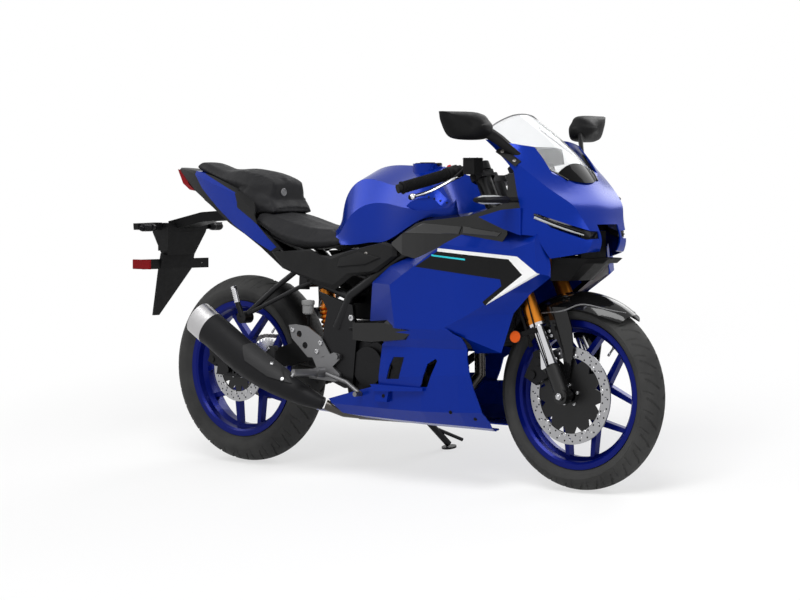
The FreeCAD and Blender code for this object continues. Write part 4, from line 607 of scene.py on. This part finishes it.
def tyre(name, node, body, axle, width, crown, seat):
    """Tyre with rounded sidewalls, a raised rim band and slanted tread grooves."""
    radius = axle[2]
    top = radius - INSET
    side, arc = tyre_section(top, width, crown, seat)
    half_line = [(x, r, False) for x, r in side] + [(x, r, True) for x, r in arc]
    section = half_line + [(0.0, top, True)] + [(-x, r, t) for x, r, t in reversed(half_line)]
    fine = []
    for (x0, r0, t0), (x1, r1, t1) in zip(section, section[1:]):
        fine.append((x0, r0, t0))
        if t0 and t1:
            fine.append(((x0 + x1) / 2, (r0 + r1) / 2 + 0.08, True))
    fine.append(section[-1])
    steps = GROOVES * GROOVE_STEPS
    pitch = 2 * math.pi * radius / GROOVES
    bm = bmesh.new()
    rings = []
    for k in range(steps):
        angle = 2 * math.pi * k / steps
        ring = []
        for x, r, tread in fine:
            depth = groove_depth(x, angle * radius, pitch, width / 2) if tread else 0.0
            r = r - depth
            ring.append(bm.verts.new((axle[0] + r * math.cos(angle), x, axle[2] + r * math.sin(angle))))
        rings.append(ring)
    bridge(bm, rings + [rings[0]], caps=False)
    piece = finish_piece(name, bm, rubber, body, 42.0)
    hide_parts(node)
    return piece


tyre("front_tyre_treaded", "front_tyre", "front_wheel", AXLE_FRONT, 110, 58, 30.7)
tyre("rear_tyre_treaded", "rear_tyre", "rear_wheel", AXLE_REAR, 140, 76, 43.7)


# Seats

SWELL_FRAMES, SWELL_PRESSURE = 20, 4.0


def swollen(obj, cap):
    """Blows the cover up against its foam for a moment and keeps each point within cap of its start."""
    start = [v.co.copy() for v in obj.data.vertices]
    cloth = obj.modifiers.new("cover", "CLOTH")
    cloth.settings.use_pressure = True
    cloth.settings.uniform_pressure_force = SWELL_PRESSURE
    cloth.settings.effector_weights.gravity = 0
    cloth.settings.quality = 5
    scene = bpy.context.scene
    for number in range(1, SWELL_FRAMES + 1):
        scene.frame_set(number)
    shape = obj.evaluated_get(bpy.context.evaluated_depsgraph_get()).data
    ends = [v.co.copy() for v in shape.vertices]
    obj.modifiers.clear()
    scene.frame_set(1)
    for vertex, first, last in zip(obj.data.vertices, start, ends):
        move = last - first
        vertex.co = first + (move * (cap / move.length) if move.length > cap else move)


def pad(name, node, body, cap=0.004):
    """Foam pad under stretched vinyl: the node's form with its edges rounded and its faces crowned."""
    source = NODES[node]
    obj = bpy.data.objects.new(name, source.data.copy())
    bpy.context.collection.objects.link(obj)
    remesh = obj.modifiers.new("even", "REMESH")
    remesh.mode = "VOXEL"
    remesh.voxel_size = 0.005
    settle = obj.modifiers.new("settle", "SMOOTH")
    settle.factor = 0.5
    settle.iterations = 4
    shape = bpy.data.meshes.new_from_object(obj.evaluated_get(bpy.context.evaluated_depsgraph_get()))
    obj.modifiers.clear()
    obj.data = shape
    swollen(obj, cap)
    finer = obj.modifiers.new("fine", "SUBSURF")
    finer.levels = finer.render_levels = 1
    obj.data = bpy.data.meshes.new_from_object(obj.evaluated_get(bpy.context.evaluated_depsgraph_get()))
    obj.modifiers.clear()
    obj.data.materials.clear()
    obj.data.materials.append(vinyl.material)
    obj.data.shade_smooth()
    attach(obj, body)
    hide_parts(node)
    return obj


pad("rider_pad", "rider_seat", "root")
pad("passenger_pad", "passenger_seat", "root")


# Chain

CHAIN_Y, SPROCKET_R, DRIVE_R, PITCH = 83.0, 104.0, 38.0, 15.875
DRIVE = Vector((545.0, 0, 380.0))
PLATE_END, PLATE_WAIST, PLATE_HALF = 6.6, 4.6, 1.0
OUTER_GAP, INNER_GAP = 6.6, 4.4
# Radius, length and sides
ROLLER, PIN = (4.6, 10.0, 10), (2.4, 16.8, 8)


def chain_walk():
    """Points a pitch apart round both sprockets."""
    rear = Vector(AXLE_REAR)
    line = DRIVE - rear
    tilt = math.atan2(line.z, line.x)
    lead = math.acos((SPROCKET_R - DRIVE_R) / line.length)
    run = line.length * math.sin(lead)
    front_wrap, rear_wrap = DRIVE_R * 2 * lead, SPROCKET_R * (2 * math.pi - 2 * lead)
    total = 2 * run + front_wrap + rear_wrap
    links = 2 * round(total / PITCH / 2)

    def ray(angle):
        return Vector((math.cos(angle), 0, math.sin(angle)))

    def point(d):
        if d < front_wrap:
            return DRIVE + ray(tilt + lead - d / DRIVE_R) * DRIVE_R
        d -= front_wrap
        low = ray(tilt - lead)
        if d < run:
            return (DRIVE + low * DRIVE_R).lerp(rear + low * SPROCKET_R, d / run)
        d -= run
        if d < rear_wrap:
            return rear + ray(tilt - lead - d / SPROCKET_R) * SPROCKET_R
        high = ray(tilt + lead)
        return (rear + high * SPROCKET_R).lerp(DRIVE + high * DRIVE_R, (d - rear_wrap) / run)

    return [point(total * k / links) for k in range(links)]


def link_outline(a, b):
    """Figure-of-eight side plate between two pins, as (x, z)."""
    way = (b - a).normalized()
    up = Vector((-way.z, 0, way.x))
    middle = (a + b) / 2
    outline = []
    for centre, sign in ((a, -1), (b, 1)):
        for turn in (-100, -60, -20, 20, 60, 100):
            angle = math.radians(turn)
            spot = centre + (way * math.cos(angle) * sign + up * math.sin(angle) * sign) * PLATE_END
            outline.append((spot.x, spot.z))
        waist = middle + up * PLATE_WAIST * sign
        outline.append((waist.x, waist.z))
    return outline


def chain_links():
    """Outer and inner plates in turn, with a roller and a pin at each joint."""
    pins = chain_walk()
    parts = []
    for k, (a, b) in enumerate(zip(pins, pins[1:] + pins[:1])):
        gap = OUTER_GAP if k % 2 else INNER_GAP
        for side in (-1, 1):
            y = CHAIN_Y + gap * side
            parts.append(prism(link_outline(a, b), y - PLATE_HALF, y + PLATE_HALF))
        for radius, length, steps in (ROLLER, PIN):
            start = a + Vector((0, CHAIN_Y - length / 2, 0))
            parts.append(lathe(start, (0, 1, 0), [(radius, 0), (radius, length)], steps))
    piece = finish_piece("chain_links", join(parts), dull_steel, "root")
    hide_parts("chain")
    return piece


chain_links()


# Wheels and brakes

DISC_FACE, OUTWARD = -65.0, (0, -1, 0)
BUTTON = [(6.5, -4), (6.5, 0.8), (5.5, 1.6), (3.5, 1.6), (3.0, 0.8), (0.01, 0.8)]
VALVE = [(4.5, -4), (4.5, 6), (3.4, 9), (3.4, 24), (4.2, 25), (4.2, 34), (3.4, 35)]
VALVE_ANGLE, VALVE_RADIUS = 0.9, 189
# Thin black disc: painted shade standing in for one drilled hole
HOLE_SHADE_DISC = [(2.9, 0), (2.9, 1.12), (0.01, 1.12)]


def ring_of(centre, y, radius, count, start=0.0):
    """Points evenly round an axle at one depth."""
    points = []
    for k in range(count):
        angle = math.radians(start + 360 * k / count)
        x, z = centre[0] + radius * math.cos(angle), centre[2] + radius * math.sin(angle)
        points.append(Vector((x, y, z)))
    return points


def wheel_trim(name, body, axle, carrier_radius):
    """Disc bolts, carrier buttons and the valve of one wheel."""
    parts = [bolt(spot, OUTWARD, 5.5, 5) for spot in ring_of(axle, DISC_FACE, 31, 5, 18)]
    parts += [lathe(spot, OUTWARD, BUTTON, 16) for spot in ring_of(axle, DISC_FACE, carrier_radius, 10, 9)]
    away = Vector((math.cos(VALVE_ANGLE) * VALVE_RADIUS, 0, math.sin(VALVE_ANGLE) * VALVE_RADIUS))
    stem = Vector(axle) + away
    parts.append(lathe(stem, Vector(axle) - stem, VALVE, 14))
    return finish_piece(name, join(parts), steel, body)


wheel_trim("front_wheel_trim", "front_wheel", AXLE_FRONT, 121)
wheel_trim("rear_wheel_trim", "rear_wheel", AXLE_REAR, 82)


def drill_hole_shades(name, body, node, axle, rows):
    """Black discs as painted shade for the small cooling holes on a brake disc's outer face, in rows about
    its axle.
    """
    parts = []
    for radius, count, start in rows:
        for spot in ring_of(axle, 0, radius, count, start):
            place, normal = surface(node, spot.x, spot.z, -1)
            parts.append(lathe(place - normal, normal, HOLE_SHADE_DISC, 10))
    return finish_piece(name, join(parts), lamp_black, body)


drill_hole_shades("front_disc_hole_shades", "front_wheel", "front_disc", AXLE_FRONT, [(121.5, 30, 4), (139.5, 30, 10)])
drill_hole_shades("rear_disc_hole_shades", "rear_wheel", "rear_disc", AXLE_REAR, [(84.5, 22, 4), (101.0, 22, 12)])


def axle_ends():
    """Nut on the right end of the front axle, and a hollow cap on its left end."""
    x, _, z = AXLE_FRONT
    half = 116.5
    cap = [(12, 0), (12, 3), (9, 4), (5.5, 4), (5, 1), (0.01, 1)]
    return join([nut((x, -half, z), (0, -1, 0), 11, 9), lathe((x, half, z), (0, 1, 0), cap)])


finish_piece("front_axle_ends", axle_ends(), steel, "steering")


# Bars and controls. Places that exist on both sides are given for the left one.

GRIP_INNER, GRIP_END, GRIP_RIBS = (1012, 205, 961), (946, 340, 921), 30
LEVER_PATH = [(1050, 190, 957), (1062, 232, 948), (1040, 268, 926), (1016, 300, 908), (990, 348, 893)]
LEVER_BALL = [(3, -2), (8, 2), (10.2, 8), (10.2, 12), (8, 18), (3, 21.5)]
SWITCH_ROOT = (1058, 136, 982)
SWITCH_SHELL = [(19, 0), (22.5, 2), (22.8, 15), (22.2, 16), (22.2, 17.4), (22.8, 18.4), (22.8, 32),
                (20, 34.5)]
SWITCH_KNOB = [(7, 0), (7, 6), (6, 8), (3, 8.4)]


def grip(side):
    """Ribbed rubber sleeve between two flanges."""
    inner, end = on_side([GRIP_INNER, GRIP_END], side)
    way = end - inner
    length = way.length
    profile = [(21.5, -3), (21.5, 3.5), (18.3, 4)]
    for k in range(GRIP_RIBS):
        h = 7 + k * (length - 16) / GRIP_RIBS
        profile += [(18.4, h), (18.4, h + 1.6), (17.5, h + 2.2), (17.5, h + 3.4)]
    profile += [(18.3, length - 5), (20, length - 4), (20, length), (17, length + 0.2)]
    return lathe(inner, way, profile, 28)


for label, side in SIDES:
    sleeve = finish_piece("grip_" + label, grip(side), grip_rubber, "steering")


def lever(side):
    """Silver lever: forged blade that thins towards its ball end."""
    path = on_side(LEVER_PATH, side)
    blade = sweep(path, 8.6, 14, 0.62, ends=6.4)
    ball = lathe(path[-1] + Vector((7, -12 * side, 4)), (-26, 48 * side, -15), LEVER_BALL, 20)
    return join([blade, ball])


for label, side in SIDES:
    finish_piece("lever_" + label, lever(side), silver, "steering")


def switch_parts(side):
    """Switch housing in two clamped halves, and its button."""
    root, inner, end = on_side([SWITCH_ROOT, GRIP_INNER, GRIP_END], side)
    way = (end - root).normalized()
    shell = lathe(inner - way * 40, way, SWITCH_SHELL, 28)
    knob = lathe(inner - way * 22 + Vector((-12, 0, 16)), (-0.4, 0, 0.9), SWITCH_KNOB, 18)
    return shell, knob


for label, side in SIDES:
    shell, knob = switch_parts(side)
    finish_piece("switch_" + label, shell, matte_black, "steering")
    finish_piece("switch_knob_" + label, knob, red_switch if side < 0 else lamp_grey, "steering")

cup_lid = prism([(1076, 1005), (1124, 1005), (1124, 1013), (1076, 1013)], -208, -162, 2.5)
cup_bolts = [bolt((x, -185, 1012.5), (0, 0, 1), 3.2, 2) for x in (1084, 1116)]
finish_piece("fluid_cup_lid", cup_lid, matte_black, "steering")
finish_piece("fluid_cup_bolts", join(cup_bolts), steel, "steering")


def hose(name, points, radius, body, collars=True):
    """Rubber hose or covered lead, with a crimped collar at each end."""
    parts = [sweep(points, radius, 12)]
    collar = [(radius * 1.3, 0), (radius * 1.7, 1.5), (radius * 1.7, 15), (radius * 1.3, 17)]
    if collars:
        for a, b in ((points[0], points[1]), (points[-1], points[-2])):
            way = Vector(b) - Vector(a)
            parts.append(lathe(Vector(a) - way.normalized() * 2, way, collar, 14))
    return finish_piece(name, join(parts), grip_rubber, body)


hose("front_brake_hose", [(1100, -188, 962), (1110, -158, 920), (1118, -134, 860), (1139, -129, 760),
                          (1166, -129, 700), (1213, -129, 600), (1255, -129, 510), (1268, -112, 440)],
     4.0, "steering")
hose("wheel_sensor_lead", [(1262, -128, 600), (1288, -130, 520), (1322, -126, 430), (1346, -118, 360)], 2.4,
     "steering", collars=False)
hose("clutch_cable", [(1060, 196, 950), (1110, 170, 930), (1130, 132, 880), (1090, 118, 830)], 3.4,
     "steering")

# Round side reflectors in black cups, each on a strap from the fork
REFLECTOR_PLACE, REFLECTOR_WAY = (1224, 132, 468), (0.15, 1, 0.1)
REFLECTOR_LENS = [(18, 0), (18, 3), (16.5, 4.6), (9, 5.2), (0.01, 5.4)]
REFLECTOR_CUP = [(12, -6), (20, -3), (20.5, 2.6), (18.4, 2.6), (18.2, 0.5)]
REFLECTOR_STRAP = [(1216, 460), (1224, 478), (1296, 500), (1298, 484)]
for label, side in SIDES:
    place, way = on_side([REFLECTOR_PLACE, REFLECTOR_WAY], side)
    lens = lathe(place, way, REFLECTOR_LENS, 28)
    cup = lathe(place, way, REFLECTOR_CUP, 28)
    strap = prism(REFLECTOR_STRAP, 124 * side, 128 * side, 1.0)
    finish_piece("side_reflector_" + label, lens, orange_lens, "steering")
    finish_piece("side_reflector_cup_" + label, join([cup, strap]), matte_black, "steering")

FENDER_BOLTS = [(1310, 486), (1318, 472)]
bolts_on("fender_bolts", "steering", steel, "front_fender", -1, FENDER_BOLTS, 6, 4)
bolts_on("fender_bolts_left", "steering", steel, "front_fender", 1, FENDER_BOLTS, 6, 4)
bolts_on("caliper_bolts", "steering", steel, "front_caliper", -1, [(1306, 424), (1316, 368)], 7.5, 6)


# Mirrors, screen and nose

MIRROR_FACE = [(412, 1150), (264, 1148), (222, 1124), (206, 1102), (224, 1070), (308, 1064), (372, 1074),
               (404, 1118)]
MIRROR_MIDDLE, MIRROR_TURN = (308, 1108), 0.12
MIRROR_HEAD = [(1160, 0.93), (1159.5, 0.965), (1164, 0.98), (1176, 0.98), (1190, 0.89), (1200, 0.72),
               (1207, 0.42), (1209, 0.12)]
MIRROR_PANE = [(1160, 0.90), (1158.6, 0.90), (1158.2, 0.88)]
MIRROR_NECK = [(1184, 262, 1092), (1206, 226, 1078), (1236, 190, 1044), (1268, 160, 1012), (1310, 134, 982)]


def mirror_body(outline, depths, side):
    """Closed body through a (y, z) outline; depths gives each x and its share of the full size."""
    cy, cz = MIRROR_MIDDLE
    bm = bmesh.new()
    rings = []
    for x, share in depths:
        rings.append([bm.verts.new((x + (cy - y) * MIRROR_TURN, (cy + (y - cy) * share) * side,
                                    cz + (z - cz) * share)) for y, z in outline])
    return bridge(bm, rings)


def mirror_shell(side):
    """Rounded head, and its neck that runs down to the nose."""
    rounded = smooth_path(MIRROR_FACE + MIRROR_FACE[:1], 5)[:-1]
    neck = sweep(on_side(MIRROR_NECK, side), 21, 16, 0.5, (0, side, 0.6), ends=5)
    return join([mirror_body(rounded, MIRROR_HEAD, side), neck])


for label, side in SIDES:
    shell = finish_piece("mirror_shell_" + label, mirror_shell(side), matte_black, "root", 50.0)
    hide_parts("mirror_" + label)

for label, side in SIDES:
    finish_piece("mirror_pane_" + label, mirror_body(MIRROR_FACE, MIRROR_PANE, side), mirror_glass, "root")

SCREEN_EDGE = [(1124, 131, 1104), (1170, 131, 1078), (1215, 129, 1046), (1268, 122, 1016), (1314, 113, 986),
               (1350, 96, 964), (1378, 74, 944)]
for label, side in SIDES:
    finish_piece("screen_seal_" + label, sweep(on_side(SCREEN_EDGE, side), 5.5, 10, 0.6), lamp_black, "root")

SCREEN_RIM = [(1127, 124, 1110), (1132, 111, 1119), (1140, 89, 1130), (1146, 65, 1139), (1150, 40, 1145),
              (1152, 0, 1148)]
rim_path = SCREEN_RIM + [(x, -y, z) for x, y, z in reversed(SCREEN_RIM[:-1])]
finish_piece("screen_rim", sweep(rim_path, 2.2, 8, pieces=4), lamp_grey, "root")

# Slim lamp strips on the cowl, each under a black brow
HEAD_SLIT = [(1336, 187, 833), (1364, 171, 820), (1402, 147, 803), (1438, 120, 788), (1458, 102, 780)]
HEAD_STRIPS = [("lamp_strip_", pale_lens, (1, 1.5, 0)), ("lamp_brow_", gloss_black, (-1, 0, 9))]
for label, side in SIDES:
    for name, finish, move in HEAD_STRIPS:
        path = on_side([Vector(spot) + Vector(move) for spot in HEAD_SLIT], side)
        finish_piece(name + label, sweep(path, 5.5, 12, 0.7, ends=3), finish, "root")


def indicator_pod(base, side, length, radius):
    """Slim lamp with a ribbed lens between its shell and its cap."""
    profile = [(radius * 0.55, 0), (radius * 0.9, length * 0.12), (radius, length * 0.3)]
    for k in range(8):
        h = length * (0.34 + 0.06 * k)
        profile += [(radius, h), (radius * 0.95, h + length * 0.015), (radius * 0.95, h + length * 0.03)]
    profile += [(radius * 0.9, length * 0.84), (radius * 0.6, length * 0.94), (radius * 0.15, length)]
    return lathe(base, (-0.1, side, 0), profile, 24)


for label, side in SIDES:
    finish_piece("front_indicator_" + label, indicator_pod((1262, 250 * side, 886), side, 108, 13.5),
                 pale_lens, "root")
    finish_piece("rear_indicator_" + label, indicator_pod((-322, 132 * side, 786), side, 73, 14),
                 lamp_black, "root")

# Dark strip beside the screen, with its bolts
RECESS, NOSE_BOLTS = [(1204, 1038), (1240, 1016), (1276, 993)], [(1218, 1030), (1262, 1002)]
for label, side in SIDES:
    recess = [surface("upper_cowl", x, z, side) for x, z in RECESS]
    strip = sweep([place for place, _ in recess], 13, 14, 0.12, recess[1][1])
    finish_piece("screen_recess_" + label, strip, matte_black, "root")
    bolts_on("nose_bolts_" + label, "root", dull_steel, "upper_cowl", side, NOSE_BOLTS, 6, 4)


# Bodywork fasteners and mouldings

PANEL_BOLTS = [(752, 268), (1016, 230), (1098, 212)]
COVER_BOLTS = [(640, 712)]
FOOTREST_BOLTS = [(318, 458), (424, 392), (440, 420)]
for label, side in SIDES:
    bolts_on("panel_bolts_" + label, "root", matte_black, "fairing_" + label, side, PANEL_BOLTS, 6, 2.4)
    bolts_on("cover_bolts_" + label, "root", dull_steel, "side_cover_" + label, side, COVER_BOLTS, 6, 2.4)
    bolts_on("footrest_bolts_" + label, "root", steel, "footrest_" + label, side, FOOTREST_BOLTS, 9, 5)


def moulding(node, spots, side, height):
    """Raised moulding that follows a node's skin between side-view corners."""
    base = [surface(node, x, z, side)[0] for x, z in spots]
    centre = sum(base, Vector()) / len(base)
    bm = bmesh.new()
    rings = []
    for share, rise in ((1.0, -1.5), (1.0, height * 0.5), (0.96, height * 0.85), (0.88, height)):
        lift = Vector((0, rise * side, 0))
        rings.append([bm.verts.new(centre.lerp(spot, share) + lift) for spot in base])
    return bridge(bm, rings)


UPPER_MOULDING = [(815, 781), (900, 812), (1056, 803), (1044, 779)]
LOWER_MOULDING = [(1062, 804), (1214, 786), (1198, 774), (1058, 782)]
COVER_MOULDING = [(530, 696), (610, 718), (700, 700), (640, 678), (520, 668)]
# Grey strip along the fender's lower edge: a painted highlight on the gloss black edge, drawn as a thin lip
FENDER_HIGHLIGHT_EDGE = [(1277, 69.5, 540), (1357, 75.5, 549), (1411, 66.5, 568), (1448, 61.5, 569),
              (1513, 49.5, 556), (1557, 23, 547)]
FRAME_BOLTS = [(567, 505)]
for label, side in SIDES:
    panel = [moulding("inner_panel_" + label, spots, side, 5.0)
             for spots in (UPPER_MOULDING, LOWER_MOULDING)]
    finish_piece("panel_mouldings_" + label, join(panel), piano_black, "root", 20.0)
    cover = moulding("side_cover_" + label, COVER_MOULDING, side, 4.0)
    finish_piece("cover_moulding_" + label, cover, grain_black, "root", 20.0)
    # The strip's grey colour is a painted highlight, not a grey part of the fender
    highlight_lip = sweep(on_side(FENDER_HIGHLIGHT_EDGE, side), 2.6, 10, ends=1.6)
    finish_piece("fender_highlight_lip_" + label, highlight_lip, lamp_grey, "steering")
    bolts_on("frame_bolts_" + label, "root", steel, "frame_" + label, side, FRAME_BOLTS, 11, 7)


# Seat lock, black discs of painted shade for the tank vents, and tail reflector

LOCK_RINGS = [(13, -4), (13, 2.2), (11.5, 3.4), (9.5, 3.4), (9, 2.2), (4, 2.2), (3, 1.2), (0.01, 1.2)]
finish_piece("seat_lock", lathe((173.5, -26, 906), (1, 0, 0), LOCK_RINGS, 28), lamp_grey, "root")


def tank_vent_shades():
    """Five small black discs in a row on the tank's right shoulder: painted shade standing for the vent
    holes.
    """
    parts = []
    for k in range(5):
        x, z = 886 + 20 * k, 899 - 6 * k
        place, normal = surface("fuel_tank", x, z, -1)
        parts.append(lathe(place - normal * 1.5, normal, [(3.4, 0), (3.4, 2.2), (2.6, 2.6)], 12))
    return join(parts)


finish_piece("tank_vent_shades", tank_vent_shades(), lamp_black, "root")
REFLECTOR_PLATE = [(-400, 643), (-314, 643), (-314, 676), (-400, 676)]
finish_piece("tail_reflector", prism(REFLECTOR_PLATE, -160, -166, 1.5), red_lens, "root")


# Engine, muffler and what fills the frame

GUARD_BOLTS = [(236, 396), (300, 352), (352, 304)]
bolts_on("muffler_bolts", "root", steel, "muffler", -1, GUARD_BOLTS, 7, 4)
CASE_BOLTS = [(612, 312), (648, 244), (738, 232), (798, 286), (798, 356), (718, 396), (644, 386)]
bolts_on("engine_bolts", "root", dull_steel, "engine", 1, CASE_BOLTS, 6.5, 6)
hose("coolant_hose_right", [(962, -88, 640), (930, -106, 600), (880, -112, 560), (840, -104, 520)], 13,
     "root")
hose("coolant_hose_left", [(962, 88, 420), (920, 104, 400), (870, 108, 380), (830, 100, 350)], 13, "root")

# Rear brake fluid cup with its screwed lid
RESERVOIR = [(9, -3), (17, 1), (18.5, 4), (18.5, 28), (21, 29), (21.5, 33), (21.5, 40), (20, 43), (8, 44.5),
             (0.01, 44.5)]
RESERVOIR_BASE = (363, -116, 512)
finish_piece("brake_reservoir", lathe(RESERVOIR_BASE, (0, 0, 1), RESERVOIR, 28), reservoir_grey, "root")


def peg_sleeve(side):
    """Ribbed silver sleeve of a passenger footrest, folded up."""
    profile = [(7.5, 0), (9.2, 1.5)]
    for h in range(3, 50, 6):
        profile += [(9.2, h), (9.2, h + 3), (8.2, h + 4), (8.2, h + 5)]
    profile += [(9.2, 52), (9.2, 55), (7.5, 56.5)]
    return lathe((140, 215 * side, 544), (-0.32, 0, 0.95), profile, 20)


for label, side in SIDES:
    finish_piece("peg_sleeve_" + label, peg_sleeve(side), silver, "root")
hose("reservoir_hose", [RESERVOIR_BASE, (364, -114, 486), (352, -108, 450), (330, -104, 424)], 4.5, "root")
LOOM = [(330, 78, 700), (420, 84, 650), (500, 80, 600), (570, 84, 590), (650, 84, 640), (720, 90, 670)]
hose("loom_right", on_side(LOOM, -1), 10, "root")
hose("loom_left", on_side(LOOM, 1), 10, "root")
THROTTLE = [(22, -20), (30, -18), (30, -4), (24, -2), (24, 34), (31, 36), (31, 52), (25, 54), (25, 70)]
for label, side in SIDES:
    throttle = lathe((700, 42 * side, 560), (-0.55, 0, 0.84), THROTTLE, 28)
    finish_piece("throttle_body_" + label, throttle, cast_grey, "root")
BATTERY = [(440, 600), (500, 496), (640, 496), (650, 590), (572, 660), (560, 716), (452, 724)]
finish_piece("battery_box", prism(BATTERY, -56, 56, 6.0), matte_black, "root")


# Floor, light and camera

SKY_STRENGTH = 0.28
FLOOR_SIZE, SHADOW_ENDS, WHITE_FROM, PALE = 60, 1.5, 2.6, 0.62
PHOTO_WIDTH, SENSOR_WIDTH = 800, 36


def combined(tree, operation, a, b):
    """One number from two sockets of a node tree."""
    node = tree.nodes.new("ShaderNodeMath")
    node.operation = operation
    tree.links.new(a, node.inputs[0])
    tree.links.new(b, node.inputs[1])
    return node.outputs[0]


def white_to_camera(tree, plain, socket, kind, where=None):
    """Shows white to the camera, in gloss and through glass, and the plain shader to everything else."""
    path = tree.nodes.new("ShaderNodeLightPath")
    share = path.outputs["Is Camera Ray"]
    for ray in ("Is Glossy Ray", "Is Transmission Ray"):
        share = combined(tree, "MAXIMUM", share, path.outputs[ray])
    if where is not None:
        share = combined(tree, "MULTIPLY", share, where)
    white = tree.nodes.new(kind)
    white.inputs["Strength"].default_value = 1.0
    white.inputs["Color"].default_value = (1, 1, 1, 1)
    blend = tree.nodes.new("ShaderNodeMixShader")
    tree.links.new(share, blend.inputs[0])
    tree.links.new(plain, blend.inputs[1])
    tree.links.new(white.outputs[0], blend.inputs[2])
    tree.links.new(blend.outputs[0], socket)


def studio_sky():
    """White backdrop that lights the bike weakly from all round."""
    world = bpy.data.worlds.new("studio")
    bpy.context.scene.world = world
    world.use_nodes = True
    sky = world.node_tree.nodes["Background"]
    sky.inputs["Color"].default_value = (1, 1, 1, 1)
    sky.inputs["Strength"].default_value = SKY_STRENGTH
    white_to_camera(world.node_tree, sky.outputs[0], world.node_tree.nodes["World Output"].inputs["Surface"],
                    "ShaderNodeBackground")


def area_light(name, place, aim, size, power):
    """Rectangular soft lamp at a place, turned towards another."""
    data = bpy.data.lights.new(name, "AREA")
    data.shape = "RECTANGLE"
    data.size, data.size_y = size
    data.energy = power
    lamp = bpy.data.objects.new(name, data)
    bpy.context.collection.objects.link(lamp)
    lamp.location = place
    lamp.rotation_euler = (Vector(aim) - Vector(place)).to_track_quat("-Z", "Y").to_euler()


studio_sky()
area_light("key", (1.2, -2.0, 4.6), (0.2, 0, 0.5), (3.4, 2.0), 190)
area_light("front", (4.5, -1.5, 1.6), (0.5, 0, 0.6), (2.0, 2.0), 45)
area_light("rear", (-3.5, -1.5, 3.0), (-0.3, 0, 0.6), (2.0, 2.0), 50)
area_light("left", (0.5, 3.6, 2.6), (0, 0, 0.6), (3.0, 2.0), 70)


def floor_finish():
    """Pale floor that keeps the shadow near the bike and turns white away from it."""
    g = Graph("floor_white")
    g.set(color=rgb(0.85, 0.85, 0.85), rough=0.9, specular=0.0)
    distance = g.add("ShaderNodeVectorMath", {0: g.place}, operation="LENGTH").outputs["Value"]
    white = g.add("ShaderNodeMapRange", {"Value": distance, "From Min": SHADOW_ENDS, "From Max": WHITE_FROM,
                                         "To Min": PALE}, interpolation_type="SMOOTHSTEP").outputs["Result"]
    white_to_camera(g.tree, g.shader.outputs[0], g.tree.nodes["Material Output"].inputs["Surface"],
                    "ShaderNodeEmission", white)
    return g


bpy.ops.mesh.primitive_plane_add(size=FLOOR_SIZE)
floor = bpy.context.object
floor.name = "floor"
floor.data.materials.append(floor_finish().material)


def photo_camera():
    """The camera of the photograph, fixed to the upright bike and so leaned with it."""
    azimuth, elevation = math.radians(39.897), math.radians(2.466)
    distance, focal_pixels, target = 8.5376, 2653.4, (655.5, 0, 560.35)
    back = Vector((math.sin(azimuth) * math.cos(elevation), -math.cos(azimuth) * math.cos(elevation),
                   math.sin(elevation)))
    right = Vector((math.cos(azimuth), math.sin(azimuth), 0))
    up = back.cross(right)
    stand = Matrix((right, up, back)).transposed().to_4x4()
    stand.translation = Vector(target) / 1000 + back * distance
    data = bpy.data.cameras.new("photo")
    data.sensor_width = SENSOR_WIDTH
    data.lens = focal_pixels * SENSOR_WIDTH / PHOTO_WIDTH
    camera = bpy.data.objects.new("photo", data)
    bpy.context.collection.objects.link(camera)
    camera.matrix_world = UPRIGHT @ stand
    return camera


bpy.context.scene.camera = photo_camera()
bpy.context.scene.view_settings.view_transform = "Standard"
